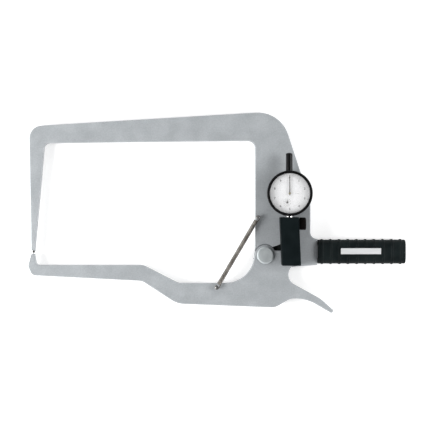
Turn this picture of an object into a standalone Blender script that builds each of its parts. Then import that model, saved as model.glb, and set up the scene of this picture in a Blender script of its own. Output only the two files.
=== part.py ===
"""Outside dial caliper gauge, built with Blender's modelling tools.

The gauge lies on its back: X runs along the beam to the grip, Y from the lever up to the beam,
Z out of the dial. Everything is placed from the pivot of the measuring arm, and one empty
carries the whole instrument, so that the origin lies under the middle of its bounding box.

The arm is a lever of ten to one. A hardened involute cam on its short end lifts the spindle
of the dial gauge by a tenth of the opening between the contacts.
"""

import math

import bmesh
import bpy
from mathutils import Matrix, Vector

MM = 0.001

# Lever: the sizes that set the measuring range
JAW_RADIUS = 278.8 * MM  # pivot to contacts
JAW_OPENING = 100.0 * MM
LEVER_RATIO = 10.0
SPINDLE_X = JAW_RADIUS / LEVER_RATIO
SWING = JAW_OPENING / JAW_RADIUS  # radians
HUB_RADIUS = 12.5 * MM

# Levels in Z
GRIP_DEPTH = 22.0 * MM
PLATE_THICKNESS = 10.0 * MM
PLATE_BACK = (GRIP_DEPTH - PLATE_THICKNESS) / 2
PLATE_FRONT = PLATE_BACK + PLATE_THICKNESS
PLATE_MIDDLE = (PLATE_BACK + PLATE_FRONT) / 2
SEAT_GAP = 0.3 * MM
LAP_GAP = 0.15 * MM
RUNNING_GAP = 0.15 * MM
OVERRUN = 2.0 * MM
EDGE_ROUND = 1.0 * MM
HOLE_SIDES = 24
ROUND_SIDES = 40
FINE_SIDES = 12
WELD_DISTANCE = 0.001 * MM

# Frame outline, seen from the front
COLUMN_INSET = 0.26 * MM
COLUMN_X = -(HUB_RADIUS - COLUMN_INSET)
PIVOT_END_RIM = 0.6 * MM
PIVOT_END_RADIUS = HUB_RADIUS + PIVOT_END_RIM
THROAT_TOP = 137.4 * MM
THROAT_RISE = 3.0 * MM  # from the jaw to the column
THROAT_TOP_AT_JAW = THROAT_TOP - THROAT_RISE
JAW_LEG_INSIDE = 13.4 * MM
JAW_LEG_OUTSIDE = 4.9 * MM
THROAT_JAW_X = -JAW_RADIUS + JAW_LEG_INSIDE
JAW_TIP_Y = 7.0 * MM
JAW_TIP_INSIDE = 1.7 * MM
JAW_TIP_OUTSIDE = 2.2 * MM
JAW_TIP_ROUND = 1.4 * MM
FRAME_LEFT_X = -JAW_RADIUS - JAW_LEG_OUTSIDE
BEAM_LEFT_DEPTH = 20.4 * MM
BEAM_LEFT_TOP = THROAT_TOP_AT_JAW + BEAM_LEFT_DEPTH
BEAM_RIGHT_DEPTH = 35.6 * MM
BEAM_RIGHT_TOP = THROAT_TOP + BEAM_RIGHT_DEPTH
BEAM_RIGHT_X = 18.1 * MM
BEAM_LEFT_ROUND = 15.6 * MM
BEAM_RIGHT_ROUND = 38.4 * MM
THROAT_LEFT_ROUND = 6.6 * MM
THROAT_RIGHT_ROUND = 9.1 * MM
BACK_REACH = 26.32 * MM  # from the middle of the dial
BACK_X = SPINDLE_X + BACK_REACH
BACK_BEND_Y = 63.6 * MM
BACK_BEND_ROUND = 16.0 * MM
HEEL_X = 31.9 * MM
HEEL_Y = -14.3 * MM
HEEL_ROUND = 1.5 * MM

# Tang and grip
GRIP_STEP = 8.5 * MM
GRIP_START_X = BACK_X + GRIP_STEP
GRIP_LENGTH = 105.1 * MM
GRIP_WIDTH = 28.8 * MM
GRIP_MIDDLE_Y = 4.15 * MM
TANG_SHOULDER_RISE = 15.45 * MM
TANG_SHOULDER_DROP = 16.05 * MM
TANG_WIDTH = 16.0 * MM
TANG_END_WALL = 7.0 * MM
TANG_END_ROUND = 4.0 * MM
TANG_FILLET = 7.8 * MM
GRIP_CORNER = 8.0 * MM
GRIP_CORNER_STEPS = 2
GRIP_END_ROUND = 2.6 * MM
RIB_COUNT = 10
RIB_PITCH = 10.46 * MM
RIB_FIRST = 5.2 * MM
RIB_WIDTH = 4.2 * MM
RIB_SLOPE = 1.2 * MM
RIB_HEIGHT = 0.8 * MM
LABEL_LENGTH = 48.4 * MM
LABEL_WIDTH = 7.5 * MM
LABEL_THICKNESS = 0.8 * MM
LABEL_START = 28.2 * MM
LABEL_CORNER = 1.0 * MM

# Measuring arm outline, seen from the front
ARM_TOP_Y = -11.9 * MM
ARM_NOSE_Y = -0.3 * MM
NOSE_INSIDE = 1.9 * MM
NOSE_OUTSIDE = 2.1 * MM
NOSE_ROUND = 1.0 * MM
NECK_OUTSIDE = 5.4 * MM
NECK_OUTER_X = -JAW_RADIUS - NECK_OUTSIDE
NECK_OUTER_Y = -8.5 * MM
NECK_INSIDE = 3.5 * MM
NECK_INNER_X = -JAW_RADIUS + NECK_INSIDE
NECK_ROUND = 12.0 * MM
ARM_OUTSIDE = 6.1 * MM
ARM_LEFT_X = -JAW_RADIUS - ARM_OUTSIDE
ARM_LEFT_Y = -24.1 * MM
ARM_LEFT_ROUND = 10.8 * MM
ARM_TOP_ROUND = 4.2 * MM
BEND_1_X = -146.9 * MM
BEND_2_X = -104.4 * MM
ARM_LOW_TOP_Y = -33.6 * MM
BEND_ROUND = 14.0 * MM
BEND_3_X = -148.0 * MM
BEND_3_Y = -31.0 * MM
BEND_4_X = -106.0 * MM
BEND_4_Y = -58.3 * MM
BEND_4_ROUND = 30.0 * MM
BELLY_X = 11.5 * MM
BELLY_Y = -63.0 * MM
BELLY_ROUND = 14.0 * MM
WAIST_X = 30.0 * MM
WAIST_Y = -52.3 * MM
WAIST_ROUND = 16.0 * MM
LEVER_CROWN_X = 50.0 * MM
LEVER_CROWN_Y = -52.5 * MM
LEVER_CROWN_ROUND = 45.0 * MM
LEVER_TIP_X = 79.5 * MM
LEVER_TIP_Y = -70.0 * MM
LEVER_END_X = 82.4 * MM
LEVER_END_Y = -66.6 * MM
LEVER_TIP_ROUND = 2.0 * MM
LEVER_BEND_X = 66.5 * MM
LEVER_BEND_Y = -52.6 * MM
LEVER_BEND_ROUND = 40.0 * MM
EXTENSION_REACH = 6.32 * MM  # past the spindle
EXTENSION_RADIUS = SPINDLE_X + EXTENSION_REACH
EXTENSION_TOP_Y = 5.4 * MM
NOTCH_RADIUS = 13.6 * MM
NOTCH_BITE = 0.245 * MM  # into the extension
NOTCH_BEARING = math.radians(-29.475)
NOTCH_AWAY = EXTENSION_RADIUS + NOTCH_RADIUS - NOTCH_BITE
NOTCH_X = NOTCH_AWAY * math.cos(NOTCH_BEARING)
NOTCH_Y = NOTCH_AWAY * math.sin(NOTCH_BEARING)
NOTCH_START = math.radians(245.0)
CROOK_RADIUS = 34.3 * MM
CROOK_STEP = 0.7 * MM
CROOK_X = -(HUB_RADIUS + CROOK_STEP + CROOK_RADIUS)
POCKET_REACH = 5.8 * MM
POCKET_RADIUS = EXTENSION_RADIUS + POCKET_REACH
POCKET_GAP = 0.5 * MM
RECESS_REACH = 70.0 * MM

# Pivot
PIVOT_RADIUS = 4.0 * MM
PIVOT_HEAD_RADIUS = 10.35 * MM
PIVOT_HEAD_HEIGHT = 3.0 * MM
PIVOT_HEAD_CHAMFER = 1.6 * MM
PIVOT_END_Z = 0.7 * MM
BUSH_WALL = 1.6 * MM
WASHER_RIM = 4.0 * MM
WASHER_RADIUS = PIVOT_RADIUS + WASHER_RIM
WASHER_THICKNESS = 1.0 * MM
NUT_WALL = 2.5 * MM
NUT_SIDES = 6
NUT_RADIUS = (PIVOT_RADIUS + NUT_WALL) / math.cos(math.pi / NUT_SIDES)

# Contacts
CONTACT_BALL_RADIUS = 1.5 * MM
CONTACT_STEM_RADIUS = 1.1 * MM
CONTACT_STEM_DEPTH = 6.0 * MM
CONTACT_GAP = 0.3 * MM
CONTACT_LINE_Y = 2.3 * MM

# Gauge block, a hollow box that holds the stem of the dial gauge over the cam
BLOCK_TOP_Y = 45.5 * MM
BLOCK_BOTTOM_Y = -10.6 * MM
BLOCK_WIDTH = 21.4 * MM
BLOCK_OFFSET = 0.28 * MM  # its top sits left of the spindle
BLOCK_LEAN = 2.5 * MM
BLOCK_TOP_X = SPINDLE_X - BLOCK_OFFSET
BLOCK_BOTTOM_X = BLOCK_TOP_X + BLOCK_LEAN
BLOCK_EDGE = 0.8 * MM
BLOCK_CORNER = 1.2 * MM
BLOCK_WALL = 3.0 * MM
BLOCK_FACE = 4.0 * MM
CAM_ROOM_TOP = 21.5 * MM
BLOCK_SCREW_RADIUS = 2.0 * MM
BLOCK_SCREW_HEAD_RADIUS = 3.5 * MM
BLOCK_SCREW_HEAD_HEIGHT = 3.0 * MM
BLOCK_SCREW_DEPTH = 6.5 * MM
BLOCK_SCREW_PLACES = (26.5 * MM, 40.5 * MM)
SOCKET_RADIUS = 1.7 * MM
SOCKET_DEPTH = 1.8 * MM

# Clamp screw of the stem
CLAMP_Y = 37.8 * MM
CLAMP_SCREW_RADIUS = 2.0 * MM
CLAMP_PAD_LENGTH = 2.6 * MM
KNOB_RADIUS = 7.0 * MM
KNOB_LENGTH = 7.6 * MM
KNURL_COUNT = 24
KNURL_DEPTH = 0.45 * MM
KNURL_SHARES = ((-0.9, 1), (-0.45, 0), (0.45, 0))  # of half a tooth; of the depth

# Dial gauge case, and the layers of the movement from its back cover to the front plate
CASE_STAND_OFF = 2.4 * MM
COVER_THICKNESS = 1.6 * MM
COVER_DISH = 0.8 * MM
CASE_BACK_Z = PLATE_FRONT + CASE_STAND_OFF + COVER_THICKNESS + SEAT_GAP
REAR_PLATE_STEP = 3.0 * MM
REAR_PLATE_Z = CASE_BACK_Z + REAR_PLATE_STEP
PLATE_WALL = 1.0 * MM
REAR_ROOM = 2.2 * MM
SPINDLE_RADIUS = 2.0 * MM
SPINDLE_Z = REAR_PLATE_Z + PLATE_WALL + REAR_ROOM + SPINDLE_RADIUS
COCK_ROOM = 0.5 * MM
COCK_Z = SPINDLE_Z + SPINDLE_RADIUS + COCK_ROOM
COCK_THICKNESS = 0.9 * MM
COCK_WIDTH = 3.6 * MM
WHEEL_ROOM = 0.9 * MM
WHEEL_Z = COCK_Z + COCK_THICKNESS + WHEEL_ROOM
WHEEL_THICKNESS = 0.9 * MM
FRONT_ROOM = 1.5 * MM
FRONT_PLATE_Z = WHEEL_Z + WHEEL_THICKNESS + FRONT_ROOM
CASE_FRONT_Z = FRONT_PLATE_Z + PLATE_WALL
CASE_RADIUS = 25.2 * MM
CASE_WALL = 2.0 * MM
STEM_RADIUS = 4.0 * MM
SPINDLE_PLAY = 0.4 * MM
STEM_BORE = SPINDLE_RADIUS + SPINDLE_PLAY
STEM_SETBACK = 0.5 * MM
STEM_LOW_Y = CAM_ROOM_TOP + STEM_SETBACK
STEM_SHOWN = 3.0 * MM  # between block and case
DIAL_Y = BLOCK_TOP_Y + STEM_SHOWN + CASE_RADIUS
CAP_RISE = 23.3 * MM
CAP_TOP_Y = DIAL_Y + CASE_RADIUS + CAP_RISE
CAP_PLAY = 0.6 * MM
CAP_BORE = SPINDLE_RADIUS + CAP_PLAY
CAP_DEPTH = 2.6 * MM
CAP_DOME = 1.8 * MM
CAP_CROWN_SHARES = (0.625, 0.25)  # of the cap's radius; of the dome's height

# Dial, hands, crystal and bezel, from the case outwards
DIAL_THICKNESS = 0.6 * MM
SCALE_WIDTH = 9.4 * MM
DIAL_SPLIT = CASE_RADIUS - SCALE_WIDTH
DIAL_FRONT_Z = CASE_FRONT_Z + SEAT_GAP + DIAL_THICKNESS
HAND_THICKNESS = 0.3 * MM
COUNTER_HAND_STEP = 0.7 * MM
COUNTER_HAND_Z = DIAL_FRONT_Z + COUNTER_HAND_STEP
MAIN_HAND_STEP = 1.1 * MM
MAIN_HAND_Z = COUNTER_HAND_Z + MAIN_HAND_STEP
HAND_ROOM = 2.3 * MM
CRYSTAL_THICKNESS = 1.0 * MM
CRYSTAL_DROP = 0.8 * MM
CRYSTAL_LIP = 0.9 * MM
BEZEL_WALL = 1.5 * MM
BEZEL_RADIUS = CASE_RADIUS + BEZEL_WALL
BEZEL_LAP = 1.3 * MM
BEZEL_OPENING = CASE_RADIUS - BEZEL_LAP
BEZEL_FRONT_Z = MAIN_HAND_Z + HAND_ROOM + CRYSTAL_THICKNESS + CRYSTAL_DROP
BEZEL_SKIRT = 1.7 * MM
BEZEL_BACK_Z = CASE_FRONT_Z - BEZEL_SKIRT
BEZEL_ROUND = 1.0 * MM

# Movement
RACK_PITCH = 0.625 * MM
RACK_SPARE_TEETH = 3
RACK_PINION_TEETH = 16
RACK_PINION_RADIUS = RACK_PITCH * RACK_PINION_TEETH / (2 * math.pi)
RACK_DEPTH = 0.69 * MM  # spindle's surface to the pitch line
RACK_TOOTH_SHARES = ((-0.4, 0), (-0.2, 1), (0.2, 1), (0.4, 0))  # of the pitch; 1 at the root
MOVEMENT_RADIUS = CASE_RADIUS - CASE_WALL - SEAT_GAP
WHEEL_TEETH = 100
PINION_TEETH = 10
TIP_SHARE = 0.09
ADDENDUM_SHARE = 0.8
DEDENDUM_SHARE = 1.2
GEAR_ROOM = 1.74 * MM  # wheel's tips to the plates' rim
GEAR_MODULE = (MOVEMENT_RADIUS - GEAR_ROOM) / (WHEEL_TEETH + PINION_TEETH / 2 + ADDENDUM_SHARE)
GEAR_DISTANCE = GEAR_MODULE * (WHEEL_TEETH + PINION_TEETH) / 2
TAKEUP_ANGLE = math.radians(60.0)
ARBOR_RADIUS = 0.5 * MM
ARBOR_GAP = 0.2 * MM
PILLAR_RADIUS = 1.4 * MM
PILLAR_INSET = 2.5 * MM
PILLAR_CIRCLE = MOVEMENT_RADIUS - PILLAR_INSET
PILLAR_ANGLES = (math.radians(-20.0), math.radians(150.0), math.radians(200.0))
HAIRSPRING_RADIUS = 5.0 * MM
HAIRSPRING_HEIGHT = 0.9 * MM

# Spindle, its contact point and the two hands
SPINDLE_RISE = 3.8 * MM  # above the case
POINT_BALL_RADIUS = 1.5 * MM
POINT_LENGTH = 5.0 * MM
POINT_SHANK = 1.2 * MM
MAIN_HAND_INSET = 2.5 * MM  # its tip to the bezel's opening
MAIN_HAND_LENGTH = BEZEL_OPENING - MAIN_HAND_INSET
MAIN_HAND_TAIL = 4.6 * MM
MAIN_HAND_WIDTH = 1.1 * MM
HAND_TIP_SHARE = 0.35
MAIN_HUB_RADIUS = 1.4 * MM
COUNTER_HAND_LENGTH = 3.6 * MM
COUNTER_HAND_WIDTH = 0.7 * MM
COUNTER_HUB_RADIUS = 1.1 * MM

# Cam under the spindle
CAM_RISE = 5.0 * MM  # pivot level to the cam's face, jaws closed
CAM_FLAT = 1.68 * MM  # left of the spindle's axis
CAM_LEFT_X = SPINDLE_X - CAM_FLAT
CAM_LOW_Y = -4.2 * MM
CAM_TOP_RISE = 4.5 * MM
CAM_TOP_Z = SPINDLE_Z + CAM_TOP_RISE
CAM_HEADROOM = 3.2 * MM
CAM_LEAD_SHARE = 0.12
CAM_STEPS = 8
CAM_SCREW_RADIUS = 1.5 * MM
CAM_SCREW_HEAD = 2.7 * MM
CAM_SCREW_DEPTH = 6.0 * MM

# Closing spring between the posts of frame and arm
POST_UPPER = (-9.0 * MM, 45.1 * MM)
POST_LOWER = (-58.1 * MM, -38.5 * MM)
POST_RADIUS = 1.3 * MM
POST_HEAD_RADIUS = 2.6 * MM
POST_HEAD_HEIGHT = 1.4 * MM
POST_DEPTH = 6.0 * MM
SPRING_LIFT = 4.4 * MM  # plate front to the spring's axis
SPRING_WIRE = 1.0 * MM
EYE_PLAY = 0.4 * MM
SPRING_MEAN_RADIUS = POST_RADIUS + EYE_PLAY + SPRING_WIRE / 2
SPRING_START = 4.1 * MM  # post to the first curl
SPRING_CURLS = 55
CURL_POINTS = 8
HOOK_STEPS = 12
HOOK_END_ANGLE = math.radians(345.0)


# Collections, materials and small helpers
for old in list(bpy.data.objects):
    bpy.data.objects.remove(old)

parts = bpy.data.collections.new("dial_caliper_gauge")
bpy.context.scene.collection.children.link(parts)
cutters = bpy.data.collections.new("cutters")
bpy.context.scene.collection.children.link(cutters)


def material(name, colour, roughness, metallic):
    made = bpy.data.materials.new(name)
    made.use_nodes = True
    shader = made.node_tree.nodes["Principled BSDF"]
    shader.inputs["Base Color"].default_value = (*colour, 1)
    shader.inputs["Roughness"].default_value = roughness
    shader.inputs["Metallic"].default_value = metallic
    return made


GREY_PAINT = material("grey_paint", (0.36, 0.37, 0.38), 0.4, 0.3)
BLACK_PLASTIC = material("black_plastic", (0.02, 0.02, 0.022), 0.5, 0)
BLACK_ANODISED = material("black_anodised", (0.015, 0.02, 0.022), 0.45, 0.4)
GLOSS_BLACK = material("gloss_black", (0.01, 0.01, 0.01), 0.15, 0)
STEEL = material("steel", (0.55, 0.55, 0.56), 0.25, 1)
DARK_STEEL = material("dark_steel", (0.12, 0.11, 0.10), 0.35, 1)
SPRING_STEEL = material("spring_steel", (0.30, 0.27, 0.24), 0.4, 1)
BRASS = material("brass", (0.62, 0.46, 0.20), 0.3, 1)
BRONZE = material("bronze", (0.50, 0.33, 0.18), 0.4, 1)
WHITE_ENAMEL = material("white_enamel", (0.85, 0.85, 0.84), 0.4, 0)
LABEL_ALUMINIUM = material("label_aluminium", (0.60, 0.61, 0.62), 0.4, 0.8)
CRYSTAL_CLEAR = material("crystal_clear", (0.95, 0.96, 0.97), 0.05, 0)


def empty(name, place, parent=None, turn=(0, 0, 0)):
    made = bpy.data.objects.new(name, None)
    made.location = place
    made.rotation_euler = turn
    made.parent = parent
    parts.objects.link(made)
    return made


def solid(name, mesh, look, parent, place=(0, 0, 0), turn=(0, 0, 0)):
    """A sub-part, shaded smooth but for its sharp edges."""
    made = bpy.data.objects.new(name, mesh)
    mesh.materials.clear()
    mesh.materials.append(look)
    mesh.shade_smooth()
    mesh.set_sharp_from_angle(angle=math.radians(35))
    made.location = place
    made.rotation_euler = turn
    made.parent = parent
    parts.objects.link(made)
    return made


def as_cutter(made):
    """Keep a solid out of the model: it only shapes another one."""
    parts.objects.unlink(made)
    cutters.objects.link(made)
    made.hide_render = True
    made.display_type = "WIRE"
    return made


def boolean(target, tool, operation="DIFFERENCE"):
    as_cutter(tool)
    step = target.modifiers.new(tool.name, "BOOLEAN")
    step.operation = operation
    step.solver = "EXACT"
    step.object = tool


def mesh_from_curve(curve):
    """The mesh of a curve, its caps welded to its sides."""
    shape = bpy.data.objects.new(curve.name, curve)
    cutters.objects.link(shape)
    bpy.context.view_layer.update()
    evaluated = shape.evaluated_get(bpy.context.evaluated_depsgraph_get())
    mesh = bpy.data.meshes.new_from_object(evaluated)
    bpy.data.objects.remove(shape)
    work = bmesh.new()
    work.from_mesh(mesh)
    bmesh.ops.remove_doubles(work, verts=work.verts, dist=WELD_DISTANCE)
    bmesh.ops.recalc_face_normals(work, faces=work.faces)
    work.to_mesh(mesh)
    work.free()
    return mesh


def plate_mesh(name, outlines, low, high, edge=0.0):
    """Flat outlines between two levels, their rims rounded by edge; the later outlines are holes."""
    curve = bpy.data.curves.new(name, "CURVE")
    curve.dimensions = "2D"
    curve.fill_mode = "BOTH"
    curve.extrude = (high - low) / 2 - edge
    curve.bevel_depth = edge
    curve.bevel_resolution = 0
    curve.offset = -edge
    for points in outlines:
        spline = curve.splines.new("POLY")
        spline.points.add(len(points) - 1)
        for corner, (x, y) in zip(spline.points, points):
            corner.co = (x, y, 0, 1)
        spline.use_cyclic_u = True
    mesh = mesh_from_curve(curve)
    mesh.transform(Matrix.Translation((0, 0, (low + high) / 2)))
    return mesh


def tube_mesh(name, points, radius, resolution=1):
    """A wire along points."""
    curve = bpy.data.curves.new(name, "CURVE")
    curve.dimensions = "3D"
    curve.bevel_depth = radius
    curve.bevel_resolution = resolution
    curve.use_fill_caps = True
    curve.twist_mode = "MINIMUM"
    spline = curve.splines.new("POLY")
    spline.points.add(len(points) - 1)
    for corner, point in zip(spline.points, points):
        corner.co = (*point, 1)
    return mesh_from_curve(curve)


def cylinder_mesh(name, radius, low, high, sides=HOLE_SIDES):
    """A cylinder about local Z between two levels."""
    mesh = bpy.data.meshes.new(name)
    work = bmesh.new()
    middle = Matrix.Translation((0, 0, (low + high) / 2))
    bmesh.ops.create_cone(
        work, cap_ends=True, segments=sides, radius1=radius, radius2=radius, depth=high - low, matrix=middle
    )
    work.to_mesh(mesh)
    work.free()
    return mesh


def turned(name, profile, look, parent, place=(0, 0, 0), turn=(0, 0, 0), steps=HOLE_SIDES):
    """A turned piece about local Z: (radius, height) points down the outer side."""
    mesh = bpy.data.meshes.new(name)
    edges = [(i, i + 1) for i in range(len(profile) - 1)]
    if min(radius for radius, _ in profile) > 0:
        edges.append((len(profile) - 1, 0))
    mesh.from_pydata([(radius, 0, height) for radius, height in profile], edges, [])
    made = solid(name, mesh, look, parent, place, turn)
    screw = made.modifiers.new("turn", "SCREW")
    screw.steps = steps
    screw.render_steps = steps
    screw.use_merge_vertices = True
    screw.merge_threshold = WELD_DISTANCE
    screw.use_smooth_shade = True
    return made


def steps_between(start, end, count):
    return [start + (end - start) * i / count for i in range(count + 1)]


def arc(centre, radius, start, end, steps):
    """Points along an arc about centre."""
    turns = steps_between(start, end, steps)
    return [(centre[0] + radius * math.cos(a), centre[1] + radius * math.sin(a)) for a in turns]


def circle(centre, radius, sides=HOLE_SIDES):
    return arc(centre, radius, 0, 2 * math.pi * (sides - 1) / sides, sides - 1)


def rounded(corners, steps=5):
    """An outline through (x, y) corners, those given as (x, y, radius) rounded by an arc."""
    points = []
    for i, corner in enumerate(corners):
        here = Vector(corner[:2])
        if len(corner) == 2 or corner[2] == 0:
            points.append(tuple(here))
            continue
        before = (Vector(corners[i - 1][:2]) - here).normalized()
        after = (Vector(corners[(i + 1) % len(corners)][:2]) - here).normalized()
        half = before.angle(after) / 2
        centre = here + (before + after).normalized() * corner[2] / math.sin(half)
        reach = corner[2] / math.tan(half)
        first = here + before * reach - centre
        sweep = first.angle_signed(here + after * reach - centre)
        for k in range(steps + 1):
            spoke = first.copy()
            spoke.rotate(Matrix.Rotation(-sweep * k / steps, 2))
            points.append(tuple(centre + spoke))
    return points


def hole(name, target, radius, low, high, parent, place=(0, 0, 0), turn=(0, 0, 0), sides=HOLE_SIDES):
    """Drill a round hole about local Z into target."""
    boolean(target, solid(name, cylinder_mesh(name, radius, low, high, sides), STEEL, parent, place, turn))


# Axes of the moving pieces
gauge_root = empty("dial_caliper_gauge_origin", (0, 0, 0))
arm_axis = empty("arm_axis", (0, 0, 0), gauge_root)
dial_axis = empty("dial_axis", (SPINDLE_X, DIAL_Y, 0), gauge_root)
spindle_axis = empty("spindle_axis", (SPINDLE_X, DIAL_Y, SPINDLE_Z), gauge_root)
rack_line = RACK_DEPTH - SPINDLE_RADIUS  # pitch line, left of the spindle's axis
counter_x = rack_line - RACK_PINION_RADIUS
counter_place = (counter_x, -math.sqrt(GEAR_DISTANCE**2 - counter_x**2))
counter_angle = math.atan2(counter_place[1], counter_place[0])
takeup_place = (GEAR_DISTANCE * math.cos(TAKEUP_ANGLE), GEAR_DISTANCE * math.sin(TAKEUP_ANGLE))
counter_axis = empty("counter_axis", (*counter_place, 0), dial_axis)
takeup_axis = empty("takeup_axis", (*takeup_place, 0), dial_axis)
clamp_axis = empty("clamp_axis", (SPINDLE_X, CLAMP_Y, SPINDLE_Z), gauge_root)
ALONG_X = (0, math.pi / 2, 0)
ALONG_Y = (-math.pi / 2, 0, 0)
AGAINST_Y = (math.pi / 2, 0, 0)


# Frame: one plate with the long beam, the fixed jaw and the tang of the grip. Round the
# pivot only its rear half is left, and a pocket in front lets the arm's short end swing.
def frame_outline():
    low = math.asin(COLUMN_X / PIVOT_END_RADIUS)
    grip_top = GRIP_MIDDLE_Y + TANG_SHOULDER_RISE
    grip_bottom = GRIP_MIDDLE_Y - TANG_SHOULDER_DROP
    tang_top = GRIP_MIDDLE_Y + TANG_WIDTH / 2
    tang_bottom = GRIP_MIDDLE_Y - TANG_WIDTH / 2
    shoulder_x = GRIP_START_X - SEAT_GAP
    tang_end = GRIP_START_X + GRIP_LENGTH - TANG_END_WALL
    pivot_end = arc((0, 0), PIVOT_END_RADIUS, math.pi / 2 - low, math.pi * 3 / 2, 12)
    return rounded(
        [
            (-JAW_RADIUS + JAW_TIP_INSIDE, JAW_TIP_Y, JAW_TIP_ROUND),
            (THROAT_JAW_X, THROAT_TOP_AT_JAW, THROAT_LEFT_ROUND),
            (COLUMN_X, THROAT_TOP, THROAT_RIGHT_ROUND),
            *pivot_end,
            (HEEL_X, HEEL_Y, HEEL_ROUND),
            (shoulder_x, grip_bottom),
            (shoulder_x, tang_bottom),
            (tang_end, tang_bottom, TANG_END_ROUND),
            (tang_end, tang_top, TANG_END_ROUND),
            (shoulder_x, tang_top),
            (shoulder_x, grip_top),
            (BACK_X, grip_top, TANG_FILLET),
            (BACK_X, BACK_BEND_Y, BACK_BEND_ROUND),
            (BEAM_RIGHT_X, BEAM_RIGHT_TOP, BEAM_RIGHT_ROUND),
            (FRAME_LEFT_X, BEAM_LEFT_TOP, BEAM_LEFT_ROUND),
            (-JAW_RADIUS - JAW_TIP_OUTSIDE, JAW_TIP_Y, JAW_TIP_ROUND),
        ]
    )


def pocket_outline():
    """The space of the arm's front half through its whole swing, seen on the frame."""
    rim = HUB_RADIUS + POCKET_GAP
    top = EXTENSION_TOP_Y + POCKET_GAP
    near = math.asin(top / rim) + SWING
    far = math.asin(top / POCKET_RADIUS) + SWING
    hub = arc((0, 0), rim, near, math.acos(COLUMN_X / rim), 12)
    outside = COLUMN_X - OVERRUN
    outer = arc((0, 0), POCKET_RADIUS, -math.pi / 2, far, 12)
    return hub + [(outside, hub[-1][1]), (outside, -POCKET_RADIUS)] + outer


frame_points = frame_outline()
frame_mesh = plate_mesh("frame", [frame_points], PLATE_BACK, PLATE_FRONT, EDGE_ROUND)
frame = solid("frame", frame_mesh, GREY_PAINT, gauge_root)
pocket = plate_mesh("pocket", [pocket_outline()], PLATE_MIDDLE - LAP_GAP, PLATE_FRONT + OVERRUN)
boolean(frame, solid("pocket", pocket, STEEL, gauge_root))
through = (PLATE_BACK - OVERRUN, PLATE_FRONT + OVERRUN)
hole("pivot_hole", frame, PIVOT_RADIUS + SEAT_GAP, *through, gauge_root)
post_hole = (POST_RADIUS + SEAT_GAP, PLATE_FRONT - POST_DEPTH - SEAT_GAP, PLATE_FRONT + OVERRUN)
hole("post_hole_frame", frame, *post_hole, gauge_root, (*POST_UPPER, 0), sides=FINE_SIDES)
contact_hole = (CONTACT_STEM_RADIUS + SEAT_GAP, -OVERRUN, CONTACT_STEM_DEPTH + SEAT_GAP)
jaw_tip = (-JAW_RADIUS, JAW_TIP_Y, PLATE_MIDDLE)
hole("contact_hole_frame", frame, *contact_hole, gauge_root, jaw_tip, ALONG_Y, FINE_SIDES)
block_screw_places = [(SPINDLE_X, y, 0) for y in BLOCK_SCREW_PLACES]
sink = (
    BLOCK_SCREW_HEAD_RADIUS + SEAT_GAP,
    PLATE_BACK - OVERRUN,
    PLATE_BACK + BLOCK_SCREW_HEAD_HEIGHT + 2 * SEAT_GAP,
)
for number, place in enumerate(block_screw_places, 1):
    clearance = BLOCK_SCREW_RADIUS + SEAT_GAP
    hole(f"block_hole_{number}", frame, clearance, *through, gauge_root, place, sides=FINE_SIDES)
    hole(f"block_sink_{number}", frame, *sink, gauge_root, place)


# Fixed contact: a hardened ball on a stem pressed into the jaw
def contact(name, parent, place, look, turn, neck):
    """A ball at the origin whose stem runs up local Z, past a neck of this length."""
    ball = CONTACT_BALL_RADIUS
    start = math.acos(CONTACT_STEM_RADIUS / ball)
    curve = [(ball * math.cos(a), ball * math.sin(a)) for a in steps_between(start, -math.pi / 2, 6)]
    profile = [(0, neck + CONTACT_STEM_DEPTH), (CONTACT_STEM_RADIUS, neck + CONTACT_STEM_DEPTH)]
    profile += curve[:-1] + [(0, -ball)]
    return turned(name, profile, look, parent, place, turn, FINE_SIDES)


fixed_ball_y = CONTACT_LINE_Y + CONTACT_BALL_RADIUS
contact(
    "fixed_contact",
    gauge_root,
    (-JAW_RADIUS, fixed_ball_y, PLATE_MIDDLE),
    DARK_STEEL,
    ALONG_Y,
    JAW_TIP_Y - fixed_ball_y,
)


# Grip: a ribbed sleeve pushed on the tang, with a flat bed for its bare label plate
def grip_section(grow):
    width = GRIP_WIDTH / 2 + grow
    depth = GRIP_DEPTH / 2 - RIB_HEIGHT + grow
    corner = GRIP_CORNER + grow
    quadrants = ((-1, -1), (1, -1), (1, 1), (-1, 1))
    corners = [(y * width, z * depth, corner) for y, z in quadrants]
    return rounded(corners, GRIP_CORNER_STEPS)


def grip_stations():
    """Places along the grip and how far its section grows there."""
    stations = [(0, -GRIP_END_ROUND / 2), (GRIP_END_ROUND / 2, 0)]
    for i in range(RIB_COUNT):
        middle = RIB_FIRST + i * RIB_PITCH
        for along, grow in ((-1, 0), (-1, 1), (1, 1), (1, 0)):
            reach = RIB_WIDTH / 2 - (RIB_SLOPE if grow else 0)
            stations.append((middle + along * reach, grow * RIB_HEIGHT))
    stations.append((GRIP_LENGTH - GRIP_END_ROUND / 2, 0))
    stations.append((GRIP_LENGTH, -GRIP_END_ROUND))
    return stations


def grip_mesh():
    """The sections lofted along X."""
    mesh = bpy.data.meshes.new("grip")
    work = bmesh.new()
    rings = []
    for along, grow in grip_stations():
        rings.append([work.verts.new((along, y, z)) for y, z in grip_section(grow)])
    for first, second in zip(rings, rings[1:]):
        for i in range(len(first)):
            j = (i + 1) % len(first)
            work.faces.new((first[i], first[j], second[j], second[i]))
    work.faces.new(rings[0])
    work.faces.new(rings[-1])
    bmesh.ops.recalc_face_normals(work, faces=work.faces)
    work.to_mesh(mesh)
    work.free()
    return mesh


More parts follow.
